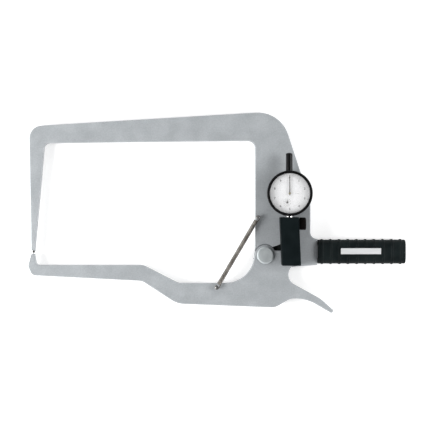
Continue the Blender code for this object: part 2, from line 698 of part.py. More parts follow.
grip_place = (GRIP_START_X, GRIP_MIDDLE_Y, GRIP_DEPTH / 2)
grip = solid("grip", grip_mesh(), BLACK_PLASTIC, gauge_root, grip_place)
tang_half = TANG_WIDTH / 2 + SEAT_GAP
tang_room = plate_mesh(
    "tang_room",
    [
        rounded(
            [
                (-OVERRUN, -tang_half),
                (GRIP_LENGTH - TANG_END_WALL + SEAT_GAP, -tang_half, TANG_END_ROUND),
                (GRIP_LENGTH - TANG_END_WALL + SEAT_GAP, tang_half, TANG_END_ROUND),
                (-OVERRUN, tang_half),
            ]
        )
    ],
    -PLATE_THICKNESS / 2 - SEAT_GAP,
    PLATE_THICKNESS / 2 + SEAT_GAP,
)
boolean(grip, solid("tang_room", tang_room, STEEL, gauge_root, grip_place))


def label_outline(grow):
    left = LABEL_START - grow
    right = LABEL_START + LABEL_LENGTH + grow
    half = LABEL_WIDTH / 2 + grow
    corner = LABEL_CORNER
    return rounded(
        [(left, -half, corner), (right, -half, corner), (right, half, corner), (left, half, corner)], 2
    )


label_floor = GRIP_DEPTH / 2 - RIB_HEIGHT - LABEL_THICKNESS
label_bed = plate_mesh("label_bed", [label_outline(SEAT_GAP)], label_floor, GRIP_DEPTH)
boolean(grip, solid("label_bed", label_bed, STEEL, gauge_root, grip_place))
label_back = label_floor + SEAT_GAP
label_mesh = plate_mesh("label_plate", [label_outline(0)], label_back, label_back + LABEL_THICKNESS)
solid("label_plate", label_mesh, LABEL_ALUMINIUM, gauge_root, grip_place)


# Measuring arm: a cranked lever with the moving jaw, the hub and the thumb lever. Round the
# pivot only its front half is left, so that it laps over the frame.
def notch_entry(radius):
    """Where the notch meets a circle about the pivot: the angle about the notch, then the pivot."""
    product = 2 * NOTCH_AWAY * radius
    at_pivot = math.acos((NOTCH_AWAY**2 + radius**2 - NOTCH_RADIUS**2) / product)
    about_pivot = NOTCH_BEARING + at_pivot
    meeting = (radius * math.cos(about_pivot), radius * math.sin(about_pivot))
    about_notch = math.atan2(meeting[1] - NOTCH_Y, meeting[0] - NOTCH_X)
    return about_notch, about_pivot


def arm_outline():
    crook_end = math.asin((ARM_LOW_TOP_Y + CROOK_RADIUS) / HUB_RADIUS)
    crook_centre = (CROOK_X, ARM_LOW_TOP_Y + CROOK_RADIUS)
    hub_start = math.asin(EXTENSION_TOP_Y / HUB_RADIUS)
    tip_start = math.asin(EXTENSION_TOP_Y / EXTENSION_RADIUS)
    notch_end, extension_start = notch_entry(EXTENSION_RADIUS)
    crook = arc(crook_centre, CROOK_RADIUS, 0, -math.pi / 2, 10)
    return rounded(
        [
            (-JAW_RADIUS - NOSE_OUTSIDE, ARM_NOSE_Y, NOSE_ROUND),
            (NECK_OUTER_X, NECK_OUTER_Y, NECK_ROUND),
            (ARM_LEFT_X, ARM_LEFT_Y, ARM_LEFT_ROUND),
            (BEND_3_X, BEND_3_Y, BEND_ROUND),
            (BEND_4_X, BEND_4_Y, BEND_4_ROUND),
            (BELLY_X, BELLY_Y, BELLY_ROUND),
            (WAIST_X, WAIST_Y, WAIST_ROUND),
            (LEVER_CROWN_X, LEVER_CROWN_Y, LEVER_CROWN_ROUND),
            (LEVER_TIP_X, LEVER_TIP_Y, LEVER_TIP_ROUND),
            (LEVER_END_X, LEVER_END_Y, LEVER_TIP_ROUND),
            (LEVER_BEND_X, LEVER_BEND_Y, LEVER_BEND_ROUND),
            *arc((NOTCH_X, NOTCH_Y), NOTCH_RADIUS, NOTCH_START, notch_end, 10),
            *arc((0, 0), EXTENSION_RADIUS, extension_start, tip_start, 6),
            *arc((0, 0), HUB_RADIUS, hub_start, math.pi - crook_end, 14),
            *crook,
            (BEND_2_X, ARM_LOW_TOP_Y, BEND_ROUND),
            (BEND_1_X, ARM_TOP_Y, BEND_ROUND),
            (NECK_INNER_X, ARM_TOP_Y, ARM_TOP_ROUND),
            (-JAW_RADIUS + NOSE_INSIDE, ARM_NOSE_Y, NOSE_ROUND),
        ]
    )


def recess_outline():
    """The space of the frame's rear half through the swing, seen on the arm."""
    heel = math.atan2(HEEL_Y + PIVOT_END_RADIUS, HEEL_X) - SWING
    rim = PIVOT_END_RADIUS + POCKET_GAP
    along = Vector((math.cos(heel), math.sin(heel)))
    up = Vector((-math.sin(heel), math.cos(heel)))
    turn_in = arc((0, 0), rim, heel + math.pi / 2, heel + math.pi * 3 / 2, 16)
    far_low = along * RECESS_REACH - up * rim
    near_high = up * RECESS_REACH
    far_high = along * RECESS_REACH + near_high
    return turn_in + [tuple(far_low), tuple(far_high), tuple(near_high)]


arm_points = arm_outline()
arm_mesh = plate_mesh("measuring_arm", [arm_points], PLATE_BACK, PLATE_FRONT, EDGE_ROUND)
arm = solid("measuring_arm", arm_mesh, GREY_PAINT, arm_axis)
recess = plate_mesh("recess", [recess_outline()], PLATE_BACK - OVERRUN, PLATE_MIDDLE + LAP_GAP)
boolean(arm, solid("recess", recess, STEEL, arm_axis))
bush_radius = PIVOT_RADIUS + RUNNING_GAP + BUSH_WALL
hole("bush_hole", arm, bush_radius + SEAT_GAP, *through, arm_axis)
hole("post_hole_arm", arm, *post_hole, arm_axis, (*POST_LOWER, 0), sides=FINE_SIDES)
arm_nose = (-JAW_RADIUS, ARM_NOSE_Y, PLATE_MIDDLE)
hole("contact_hole_arm", arm, *contact_hole, arm_axis, arm_nose, AGAINST_Y, FINE_SIDES)

moving_ball_y = CONTACT_LINE_Y - CONTACT_GAP - CONTACT_BALL_RADIUS
contact(
    "moving_contact",
    arm_axis,
    (-JAW_RADIUS, moving_ball_y, PLATE_MIDDLE),
    STEEL,
    AGAINST_Y,
    moving_ball_y - ARM_NOSE_Y,
)


# Pivot: a headed shaft, the bush it turns in, a washer and a thin nut behind
shaft_base = PLATE_FRONT + SEAT_GAP
shaft_top = shaft_base + PIVOT_HEAD_HEIGHT
turned(
    "pivot_shaft",
    [
        (0, shaft_top),
        (PIVOT_HEAD_RADIUS - PIVOT_HEAD_CHAMFER, shaft_top),
        (PIVOT_HEAD_RADIUS, shaft_top - PIVOT_HEAD_CHAMFER),
        (PIVOT_HEAD_RADIUS, shaft_base),
        (PIVOT_RADIUS, shaft_base),
        (PIVOT_RADIUS, PIVOT_END_Z),
        (0, PIVOT_END_Z),
    ],
    STEEL,
    gauge_root,
)
bush_bore = PIVOT_RADIUS + RUNNING_GAP
turned(
    "pivot_bush",
    [
        (bush_radius, PLATE_FRONT),
        (bush_radius, PLATE_MIDDLE + LAP_GAP),
        (bush_bore, PLATE_MIDDLE + LAP_GAP),
        (bush_bore, PLATE_FRONT),
    ],
    BRONZE,
    arm_axis,
)
washer_top = PLATE_BACK - SEAT_GAP
washer_low = washer_top - WASHER_THICKNESS
turned(
    "pivot_washer",
    [
        (WASHER_RADIUS, washer_top),
        (WASHER_RADIUS, washer_low),
        (PIVOT_RADIUS + SEAT_GAP, washer_low),
        (PIVOT_RADIUS + SEAT_GAP, washer_top),
    ],
    STEEL,
    gauge_root,
)
solid(
    "pivot_nut",
    plate_mesh(
        "pivot_nut",
        [
            circle((0, 0), NUT_RADIUS, NUT_SIDES),
            circle((0, 0), PIVOT_RADIUS + SEAT_GAP),
        ],
        PIVOT_END_Z + SEAT_GAP,
        washer_low - SEAT_GAP,
    ),
    STEEL,
    gauge_root,
)


# Gauge block: a leaning box, open to the plate, that hides the cam and holds the stem
def block_line(y):
    """Middle of the block at a height."""
    return BLOCK_BOTTOM_X - (y - BLOCK_BOTTOM_Y) * BLOCK_LEAN / (BLOCK_TOP_Y - BLOCK_BOTTOM_Y)


def block_outline(low, high, half, corner):
    return rounded(
        [
            (block_line(low) - half, low, corner),
            (block_line(low) + half, low, corner),
            (block_line(high) + half, high, corner),
            (block_line(high) - half, high, corner),
        ],
        2,
    )


block_back = PLATE_FRONT + SEAT_GAP
cam_room_high = CAM_TOP_Z + CAM_HEADROOM
block_front = cam_room_high + BLOCK_FACE
block_plan = block_outline(BLOCK_BOTTOM_Y, BLOCK_TOP_Y, BLOCK_WIDTH / 2, BLOCK_CORNER)
block = solid(
    "gauge_block",
    plate_mesh("gauge_block", [block_plan], block_back, block_front, BLOCK_EDGE),
    BLACK_ANODISED,
    gauge_root,
)
room_low = BLOCK_BOTTOM_Y + BLOCK_WALL
room_plan = block_outline(room_low, CAM_ROOM_TOP, BLOCK_WIDTH / 2 - BLOCK_WALL, BLOCK_CORNER)
cam_room = plate_mesh("cam_room", [room_plan], block_back - OVERRUN, cam_room_high)
boolean(block, solid("cam_room", cam_room, STEEL, gauge_root))
stem_hole = (STEM_RADIUS + SEAT_GAP, CAM_ROOM_TOP - OVERRUN, BLOCK_TOP_Y + OVERRUN)
hole("stem_hole", block, *stem_hole, gauge_root, (SPINDLE_X, 0, SPINDLE_Z), ALONG_Y)
clamp_hole = (CLAMP_SCREW_RADIUS + SEAT_GAP, 0, BLOCK_WIDTH)
hole("clamp_hole", block, *clamp_hole, clamp_axis, turn=ALONG_X, sides=FINE_SIDES)
tapped = (
    BLOCK_SCREW_RADIUS + SEAT_GAP,
    block_back - OVERRUN,
    PLATE_FRONT + BLOCK_SCREW_DEPTH + SEAT_GAP,
)
for number, screw_place in enumerate(block_screw_places, 1):
    hole(f"tapped_{number}", block, *tapped, gauge_root, screw_place, sides=FINE_SIDES)
    head_low = PLATE_BACK + SEAT_GAP
    head_high = head_low + BLOCK_SCREW_HEAD_HEIGHT
    screw_top = PLATE_FRONT + BLOCK_SCREW_DEPTH
    turned(
        f"block_screw_{number}",
        [
            (0, screw_top),
            (BLOCK_SCREW_RADIUS, screw_top),
            (BLOCK_SCREW_RADIUS, head_high),
            (BLOCK_SCREW_HEAD_RADIUS, head_high),
            (BLOCK_SCREW_HEAD_RADIUS, head_low),
            (SOCKET_RADIUS, head_low),
            (SOCKET_RADIUS, head_low + SOCKET_DEPTH),
            (0, head_low + SOCKET_DEPTH),
        ],
        DARK_STEEL,
        gauge_root,
        screw_place,
        steps=FINE_SIDES,
    )


# Clamp: a pad that bears on the stem, and the knurled screw behind it
pad_start = STEM_RADIUS + SEAT_GAP
pad_end = pad_start + CLAMP_PAD_LENGTH
turned(
    "clamp_pad",
    [
        (0, pad_end),
        (CLAMP_SCREW_RADIUS, pad_end),
        (CLAMP_SCREW_RADIUS, pad_start),
        (0, pad_start),
    ],
    BRASS,
    clamp_axis,
    turn=ALONG_X,
    steps=FINE_SIDES,
)
knob_start = block_line(CLAMP_Y) - SPINDLE_X + BLOCK_WIDTH / 2 + BLOCK_EDGE
knob_end = knob_start + KNOB_LENGTH


def knurled_outline(radius):
    points = []
    for i in range(KNURL_COUNT):
        middle = 2 * math.pi * i / KNURL_COUNT
        step = math.pi / KNURL_COUNT
        for share, drop in KNURL_SHARES:
            reach = radius - drop * KNURL_DEPTH
            angle = middle + share * step
            points.append((reach * math.cos(angle), reach * math.sin(angle)))
    return points


knob = solid(
    "clamp_knob",
    plate_mesh("clamp_knob", [knurled_outline(KNOB_RADIUS)], knob_start, knob_end),
    BLACK_ANODISED,
    clamp_axis,
    turn=ALONG_X,
)
knob_screw = cylinder_mesh(
    "knob_screw", CLAMP_SCREW_RADIUS, pad_end + SEAT_GAP, knob_start + OVERRUN, FINE_SIDES
)
boolean(knob, solid("knob_screw", knob_screw, BLACK_ANODISED, clamp_axis, turn=ALONG_X), "UNION")


# Dial gauge case, back cover, stem and spindle cap
case_inside = CASE_RADIUS - CASE_WALL
case = turned(
    "gauge_case",
    [
        (CASE_RADIUS, CASE_FRONT_Z),
        (CASE_RADIUS, CASE_BACK_Z),
        (case_inside, CASE_BACK_Z),
        (case_inside, CASE_FRONT_Z),
    ],
    BLACK_ANODISED,
    dial_axis,
    steps=ROUND_SIDES,
)
neck_reach = CASE_RADIUS + OVERRUN
hole("neck_hole", case, STEM_RADIUS + SEAT_GAP, -neck_reach, neck_reach, spindle_axis, turn=ALONG_Y)
cover_top = CASE_BACK_Z - SEAT_GAP
cover_low = cover_top - COVER_THICKNESS
turned(
    "gauge_back_cover",
    [
        (0, cover_top),
        (CASE_RADIUS - COVER_DISH, cover_top),
        (CASE_RADIUS, cover_top - COVER_DISH),
        (CASE_RADIUS - COVER_DISH, cover_low),
        (0, cover_low),
    ],
    BLACK_ANODISED,
    dial_axis,
    steps=ROUND_SIDES,
)
stem_top = -case_inside
stem_low = STEM_LOW_Y - DIAL_Y
turned(
    "gauge_stem",
    [
        (STEM_RADIUS, stem_top),
        (STEM_RADIUS, stem_low),
        (STEM_BORE, stem_low),
        (STEM_BORE, stem_top),
    ],
    STEEL,
    spindle_axis,
    turn=ALONG_Y,
)
cap_low = case_inside
cap_top = CAP_TOP_Y - DIAL_Y
turned(
    "spindle_cap",
    [
        (0, cap_top),
        (STEM_RADIUS * CAP_CROWN_SHARES[0], cap_top - CAP_DOME * CAP_CROWN_SHARES[1]),
        (STEM_RADIUS, cap_top - CAP_DOME),
        (STEM_RADIUS, cap_low),
        (CAP_BORE, cap_low),
        (CAP_BORE, cap_top - CAP_DEPTH),
        (0, cap_top - CAP_DEPTH),
    ],
    GLOSS_BLACK,
    spindle_axis,
    turn=ALONG_Y,
)


# Bezel, scale ring, dial plate and crystal
dial_low = DIAL_FRONT_Z - DIAL_THICKNESS
dial_high = DIAL_FRONT_Z
bezel_bore = CASE_RADIUS + SEAT_GAP
crystal_high = BEZEL_FRONT_Z - CRYSTAL_DROP
crystal_low = crystal_high - CRYSTAL_THICKNESS
groove = BEZEL_OPENING + CRYSTAL_LIP
turned(
    "bezel",
    [
        (BEZEL_OPENING, BEZEL_FRONT_Z),
        (BEZEL_RADIUS - BEZEL_ROUND, BEZEL_FRONT_Z),
        (BEZEL_RADIUS, BEZEL_FRONT_Z - BEZEL_ROUND),
        (BEZEL_RADIUS, BEZEL_BACK_Z),
        (bezel_bore, BEZEL_BACK_Z),
        (bezel_bore, dial_high + SEAT_GAP),
        (BEZEL_OPENING, dial_high + SEAT_GAP),
        (BEZEL_OPENING, crystal_low - SEAT_GAP),
        (groove, crystal_low - SEAT_GAP),
        (groove, crystal_high + SEAT_GAP),
        (BEZEL_OPENING, crystal_high + SEAT_GAP),
    ],
    GLOSS_BLACK,
    dial_axis,
    steps=ROUND_SIDES,
)
turned(
    "crystal",
    [
        (0, crystal_high),
        (groove - SEAT_GAP, crystal_high),
        (groove - SEAT_GAP, crystal_low),
        (0, crystal_low),
    ],
    CRYSTAL_CLEAR,
    dial_axis,
    steps=ROUND_SIDES,
)
turned(
    "scale_ring",
    [
        (CASE_RADIUS, dial_high),
        (CASE_RADIUS, dial_low),
        (DIAL_SPLIT, dial_low),
        (DIAL_SPLIT, dial_high),
    ],
    WHITE_ENAMEL,
    dial_axis,
    steps=ROUND_SIDES,
)
hand_hole = ARBOR_RADIUS + SEAT_GAP
solid(
    "dial_plate",
    plate_mesh(
        "dial_plate",
        [
            circle((0, 0), DIAL_SPLIT - SEAT_GAP, ROUND_SIDES),
            circle((0, 0), hand_hole, FINE_SIDES),
            circle(counter_place, hand_hole, FINE_SIDES),
        ],
        dial_low,
        dial_high,
    ),
    WHITE_ENAMEL,
    dial_axis,
)


# Movement plates, their pillars and the cock of the centre arbor
def pillar_places():
    return [(PILLAR_CIRCLE * math.cos(a), PILLAR_CIRCLE * math.sin(a)) for a in PILLAR_ANGLES]


bearing = ARBOR_RADIUS + ARBOR_GAP
solid(
    "movement_front_plate",
    plate_mesh(
        "movement_front_plate",
        [
            circle((0, 0), MOVEMENT_RADIUS, ROUND_SIDES),
            circle((0, 0), bearing, FINE_SIDES),
            circle(counter_place, bearing, FINE_SIDES),
            circle(takeup_place, bearing, FINE_SIDES),
        ],
        FRONT_PLATE_Z,
        FRONT_PLATE_Z + PLATE_WALL,
    ),
    BRASS,
    dial_axis,
)
rear_plate = solid(
    "movement_rear_plate",
    plate_mesh(
        "movement_rear_plate",
        [
            circle((0, 0), MOVEMENT_RADIUS, ROUND_SIDES),
            circle(counter_place, bearing, FINE_SIDES),
            circle(takeup_place, bearing, FINE_SIDES),
        ],
        REAR_PLATE_Z,
        REAR_PLATE_Z + PLATE_WALL,
    ),
    BRASS,
    dial_axis,
)
for number, place in enumerate(pillar_places(), 1):
    pillar = cylinder_mesh(
        f"pillar_{number}",
        PILLAR_RADIUS,
        REAR_PLATE_Z + PLATE_WALL / 2,
        FRONT_PLATE_Z - SEAT_GAP,
        FINE_SIDES,
    )
    boolean(rear_plate, solid(f"pillar_{number}", pillar, BRASS, dial_axis, (*place, 0)), "UNION")
cock_angle = PILLAR_ANGLES[0]
cock_end = pillar_places()[0]
cock_start = arc((0, 0), COCK_WIDTH / 2, cock_angle + math.pi / 2, cock_angle + math.pi * 3 / 2, 6)
cock_stop = arc(cock_end, COCK_WIDTH / 2, cock_angle - math.pi / 2, cock_angle + math.pi / 2, 6)
solid(
    "centre_cock",
    plate_mesh(
        "centre_cock",
        [
            cock_start + cock_stop,
            circle((0, 0), bearing, FINE_SIDES),
            circle(cock_end, PILLAR_RADIUS + RUNNING_GAP, FINE_SIDES),
        ],
        COCK_Z,
        COCK_Z + COCK_THICKNESS,
    ),
    BRASS,
    dial_axis,
)


# Wheels: trapezoid teeth with play, cut so that they mesh at rest
def gear_outline(module, teeth, phase):
    """Teeth about the origin, the middle of one at the angle phase."""
    pitch_radius = module * teeth / 2
    tip = pitch_radius + ADDENDUM_SHARE * module
    root = pitch_radius - DEDENDUM_SHARE * module
    step = 2 * math.pi / teeth
    points = []
    for i in range(teeth):
        middle = phase + i * step
        for share, reach in ((-0.5, root), (-TIP_SHARE, tip), (TIP_SHARE, tip)):
            angle = middle + share * step
            points.append((reach * math.cos(angle), reach * math.sin(angle)))
    return points


def arbor(name, low, high):
    return cylinder_mesh(name, ARBOR_RADIUS, low, high, FINE_SIDES)


def joined(target, name, mesh, look, parent):
    boolean(target, solid(name, mesh, look, parent), "UNION")


wheel_top = WHEEL_Z + WHEEL_THICKNESS
pinion_low = WHEEL_Z - ARBOR_GAP
pinion_high = wheel_top + ARBOR_GAP
centre_phase = counter_angle
centre_arbor = solid(
    "centre_arbor",
    plate_mesh(
        "centre_arbor",
        [gear_outline(GEAR_MODULE, PINION_TEETH, centre_phase)],
        pinion_low,
        pinion_high,
    ),
    STEEL,
    dial_axis,
)
centre_shaft = arbor("centre_shaft", COCK_Z, MAIN_HAND_Z - SEAT_GAP)
joined(centre_arbor, "centre_shaft", centre_shaft, STEEL, dial_axis)

# A tooth of the centre pinion points at the counter wheel, so that wheel shows it a gap
counter_phase = counter_angle + math.pi + math.pi / WHEEL_TEETH
counter_wheel = solid(
    "counter_wheel",
    plate_mesh(
        "counter_wheel",
        [gear_outline(GEAR_MODULE, WHEEL_TEETH, counter_phase)],
        WHEEL_Z,
        wheel_top,
    ),
    BRASS,
    counter_axis,
)
joined(
    counter_wheel,
    "counter_shaft",
    arbor("counter_shaft", REAR_PLATE_Z, COUNTER_HAND_Z - SEAT_GAP),
    BRASS,
    counter_axis,
)
rack_pinion_low = SPINDLE_Z - SPINDLE_RADIUS / 2
rack_pinion_high = SPINDLE_Z + SPINDLE_RADIUS / 2
joined(
    counter_wheel,
    "rack_pinion",
    plate_mesh(
        "rack_pinion",
        [gear_outline(RACK_PITCH / math.pi, RACK_PINION_TEETH, 0)],
        rack_pinion_low,
        rack_pinion_high,
    ),
    BRASS,
    counter_axis,
)

pinion_step = 2 * math.pi / PINION_TEETH
facing = (TAKEUP_ANGLE - centre_phase) / pinion_step
tooth_offset = (facing - math.floor(facing)) * pinion_step
facing_gap = TAKEUP_ANGLE + math.pi + math.pi / WHEEL_TEETH
takeup_phase = facing_gap + tooth_offset * PINION_TEETH / WHEEL_TEETH
takeup_wheel = solid(
    "takeup_wheel",
    plate_mesh(
        "takeup_wheel",
        [gear_outline(GEAR_MODULE, WHEEL_TEETH, takeup_phase)],
        WHEEL_Z,
        wheel_top,
    ),
    BRASS,
    takeup_axis,
)
joined(
    takeup_wheel,
    "takeup_shaft",
    arbor("takeup_shaft", REAR_PLATE_Z, FRONT_PLATE_Z + PLATE_WALL),
    BRASS,
    takeup_axis,
)
hair_low = REAR_PLATE_Z + PLATE_WALL + SEAT_GAP
hair_high = hair_low + HAIRSPRING_HEIGHT
turned(
    "hairspring",
    [
        (HAIRSPRING_RADIUS, hair_high),
        (HAIRSPRING_RADIUS, hair_low),
        (ARBOR_RADIUS + SEAT_GAP, hair_low),
        (ARBOR_RADIUS + SEAT_GAP, hair_high),
    ],
    SPRING_STEEL,
    takeup_axis,
)


# Spindle with its rack, contact point and the hands
def rack_cutter():
    """The gaps between the rack's teeth, as a comb that reaches in from the left."""
    module = RACK_PITCH / math.pi
    levels = (rack_line - ADDENDUM_SHARE * module, rack_line + DEDENDUM_SHARE * module)
    outside = -SPINDLE_RADIUS - OVERRUN
    travel_teeth = math.ceil(JAW_OPENING / LEVER_RATIO / RACK_PITCH)
    first = -travel_teeth - RACK_SPARE_TEETH
    points = [(outside, counter_place[1] + (first - 1) * RACK_PITCH)]
    points.append((levels[0], points[0][1]))
    for i in range(first, RACK_SPARE_TEETH + 1):
        middle = counter_place[1] + i * RACK_PITCH
        for share, level in RACK_TOOTH_SHARES:
            points.append((levels[level], middle + share * RACK_PITCH))
    points.append((levels[0], counter_place[1] + (RACK_SPARE_TEETH + 1) * RACK_PITCH))
    points.append((outside, points[-1][1]))
    return points


spindle_low = CAM_RISE + CONTACT_GAP + POINT_LENGTH - DIAL_Y
spindle = solid(
    "spindle",
    cylinder_mesh("spindle", SPINDLE_RADIUS, spindle_low, CASE_RADIUS + SPINDLE_RISE, 16),
    STEEL,
    spindle_axis,
    turn=ALONG_Y,
)
comb = plate_mesh("comb", [rack_cutter()], -SPINDLE_RADIUS - OVERRUN, SPINDLE_RADIUS + OVERRUN)
boolean(spindle, solid("comb", comb, STEEL, spindle_axis))
point_top = spindle_low - SEAT_GAP
point_low = spindle_low - POINT_LENGTH
ball_middle = point_low + POINT_BALL_RADIUS
ball_curve = [
    (POINT_BALL_RADIUS * math.cos(a), ball_middle + POINT_BALL_RADIUS * math.sin(a))
    for a in steps_between(math.acos(POINT_SHANK / POINT_BALL_RADIUS), -math.pi / 2, 6)
]
turned(
    "contact_point",
    [
        (0, point_top),
        (SPINDLE_RADIUS, point_top),
        (SPINDLE_RADIUS, ball_middle + 2 * POINT_BALL_RADIUS - POINT_SHANK),
        *ball_curve[:-1],
        (0, point_low),
    ],
    STEEL,
    spindle_axis,
    turn=ALONG_Y,
    steps=FINE_SIDES,
)


def hand_outline(length, tail, width):
    half = width / 2
    tip = half * HAND_TIP_SHARE
    return [(-half, -tail), (half, -tail), (tip, length), (-tip, length)]


def hand(name, outline, hub, low, look, parent):
    made = solid(name, plate_mesh(name, [outline], low, low + HAND_THICKNESS), look, parent)
    boss_low = low - HAND_THICKNESS / 2
    boss_high = low + HAND_THICKNESS * 2
    boss = cylinder_mesh(name + "_hub", hub, boss_low, boss_high, FINE_SIDES)
    boolean(made, solid(name + "_hub", boss, look, parent), "UNION")
    return made


hand(
    "main_hand",
    hand_outline(MAIN_HAND_LENGTH, MAIN_HAND_TAIL, MAIN_HAND_WIDTH),
    MAIN_HUB_RADIUS,
    MAIN_HAND_Z,
    DARK_STEEL,
    dial_axis,
)
hand(
    "counter_hand",
    hand_outline(COUNTER_HAND_LENGTH, 0, COUNTER_HAND_WIDTH),
    COUNTER_HUB_RADIUS,
    COUNTER_HAND_Z,
    DARK_STEEL,
    counter_axis,
)


# Cam: its top is an involute about the pivot, so equal turns of the arm give equal lifts
def cam_outline():
    first = 0
    last = -SWING * (1 + CAM_LEAD_SHARE)
    top = []
    for angle in steps_between(first, last, CAM_STEPS):
        reach = CAM_RISE - SPINDLE_X * angle
        x = SPINDLE_X * math.cos(angle) - reach * math.sin(angle)
        y = SPINDLE_X * math.sin(angle) + reach * math.cos(angle)
        top.append((x, y))
    return [(CAM_LEFT_X, CAM_LOW_Y), (CAM_LEFT_X, CAM_RISE), *top, (top[-1][0], CAM_LOW_Y)]


cam_points = cam_outline()
cam_low = PLATE_FRONT + SEAT_GAP
cam = solid("cam", plate_mesh("cam", [cam_points], cam_low, CAM_TOP_Z), STEEL, arm_axis)
cam_screw_x = (CAM_LEFT_X + cam_points[-1][0]) / 2
cam_screw_y = (CAM_LOW_Y + CAM_RISE) / 2
cam_screw_place = (cam_screw_x, cam_screw_y, 0)
screw_head_low = PLATE_MIDDLE + LAP_GAP + SEAT_GAP
screw_tip = PLATE_FRONT + CAM_SCREW_DEPTH
head_cone = CAM_SCREW_HEAD - CAM_SCREW_RADIUS
cam_clearance = CAM_SCREW_RADIUS + SEAT_GAP
for name, target, high in (("cam_hole_arm", arm, through[1]), ("cam_hole", cam, screw_tip + SEAT_GAP)):
    hole(name, target, cam_clearance, PLATE_BACK, high, arm_axis, cam_screw_place, sides=FINE_SIDES)
boolean(
    arm,
    turned(
        "cam_sink",
        [
            (0, screw_head_low + head_cone + SEAT_GAP * 2),
            (CAM_SCREW_RADIUS + SEAT_GAP, screw_head_low + head_cone + SEAT_GAP),
            (CAM_SCREW_HEAD + SEAT_GAP, screw_head_low),
            (CAM_SCREW_HEAD + SEAT_GAP, PLATE_BACK),
            (0, PLATE_BACK),
        ],
        STEEL,
        arm_axis,
        cam_screw_place,
        steps=FINE_SIDES,
    ),
)
turned(
    "cam_screw",
    [
        (0, screw_tip),
        (CAM_SCREW_RADIUS, screw_tip),
        (CAM_SCREW_RADIUS, screw_head_low + head_cone),
        (CAM_SCREW_HEAD, screw_head_low),
        (0, screw_head_low),
    ],
    DARK_STEEL,
    arm_axis,
    cam_screw_place,
    steps=FINE_SIDES,
)


# Posts and closing spring
spring_z = PLATE_FRONT + SPRING_LIFT


def post(name, parent, place):
    top = spring_z + SPRING_WIRE / 2 + SEAT_GAP + POST_HEAD_HEIGHT
    return turned(
        name,
        [
            (0, top),
            (POST_HEAD_RADIUS - POST_HEAD_HEIGHT / 2, top),
            (POST_HEAD_RADIUS, top - POST_HEAD_HEIGHT / 2),
            (POST_HEAD_RADIUS, top - POST_HEAD_HEIGHT),
            (POST_RADIUS, top - POST_HEAD_HEIGHT),
            (POST_RADIUS, PLATE_FRONT - POST_DEPTH),
            (0, PLATE_FRONT - POST_DEPTH),
        ],
        STEEL,
        parent,
        (*place, 0),
        steps=16,
    )


post("spring_post_upper", gauge_root, POST_UPPER)
post("spring_post_lower", arm_axis, POST_LOWER)

spring_run = Vector(POST_LOWER) - Vector(POST_UPPER)
spring_length = spring_run.length
spring_turn = math.atan2(spring_run.y, spring_run.x)
spring_axis = empty("spring_axis", (*POST_UPPER, spring_z), gauge_root, (0, 0, spring_turn))
lower_axis = empty("spring_lower_axis", (spring_length, 0, 0), spring_axis)


def hook_points(side):
    """A straight lead beside the coil and an eye round a post at the origin; side is 1 or -1."""
    radius = SPRING_MEAN_RADIUS
    points = [(side * (SPRING_START - SEAT_GAP), radius, 0), (side * SPRING_START / 2, radius, 0)]
    for angle in steps_between(math.pi / 2, HOOK_END_ANGLE, HOOK_STEPS):
        points.append((side * radius * math.cos(angle), radius * math.sin(angle), 0))
    return points


for name, side, parent in (("spring_upper_hook", 1, spring_axis), ("spring_lower_hook", -1, lower_axis)):
    solid(name, tube_mesh(name, hook_points(side), SPRING_WIRE / 2), SPRING_STEEL, parent)


def coil_points():
    """The curls about local X, with a straight end one wire long on each side."""
    start = SPRING_START + SPRING_WIRE
    end = spring_length - start
    count = SPRING_CURLS * CURL_POINTS
    points = [(SPRING_START, SPRING_MEAN_RADIUS, 0)]
    for i in range(count + 1):
        angle = 2 * math.pi * i / CURL_POINTS
        along = start + (end - start) * i / count
        points.append((along, SPRING_MEAN_RADIUS * math.cos(angle), SPRING_MEAN_RADIUS * math.sin(angle)))
    points.append((spring_length - SPRING_START, SPRING_MEAN_RADIUS, 0))
    return points


def least_gap(points, wire, neighbours):
    """The smallest gap between stretches of the wire that aren't next to each other."""
    nearest = math.inf
    for i, first in enumerate(points):
        for second in points[i + neighbours : i + 3 * neighbours]:
            nearest = min(nearest, (Vector(first) - Vector(second)).length)
    return nearest - wire


curls = coil_points()
print(f"spring_coil: least gap {least_gap(curls, SPRING_WIRE, CURL_POINTS // 2 + 1) / MM:.2f} mm")
solid("spring_coil", tube_mesh("spring_coil", curls, SPRING_WIRE / 2), SPRING_STEEL, spring_axis)


# Origin: under the middle of the bounding box
grip_end = GRIP_START_X + GRIP_LENGTH
left_end = min(x for x, _ in frame_points + arm_points)
top_end = max(y for _, y in frame_points)
low_end = min(y for _, y in arm_points)
gauge_root.location = (-(left_end + grip_end) / 2, -(top_end + low_end) / 2, 0)
bpy.context.view_layer.update()
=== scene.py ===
"""Outside dial caliper gauge lying on a white bench, seen from straight above.

The file follows the instrument as it is put together: bench and lights, the painted frame and
arm, their contacts, the pivot, the gauge block and its clamp, the dial gauge from its case to
its crystal, the grip and the closing spring. Lengths are in millimetres, in the CAD's frame.
"""

import math

import bmesh
import bpy
import numpy as np
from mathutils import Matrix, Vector
from mathutils.geometry import tessellate_polygon


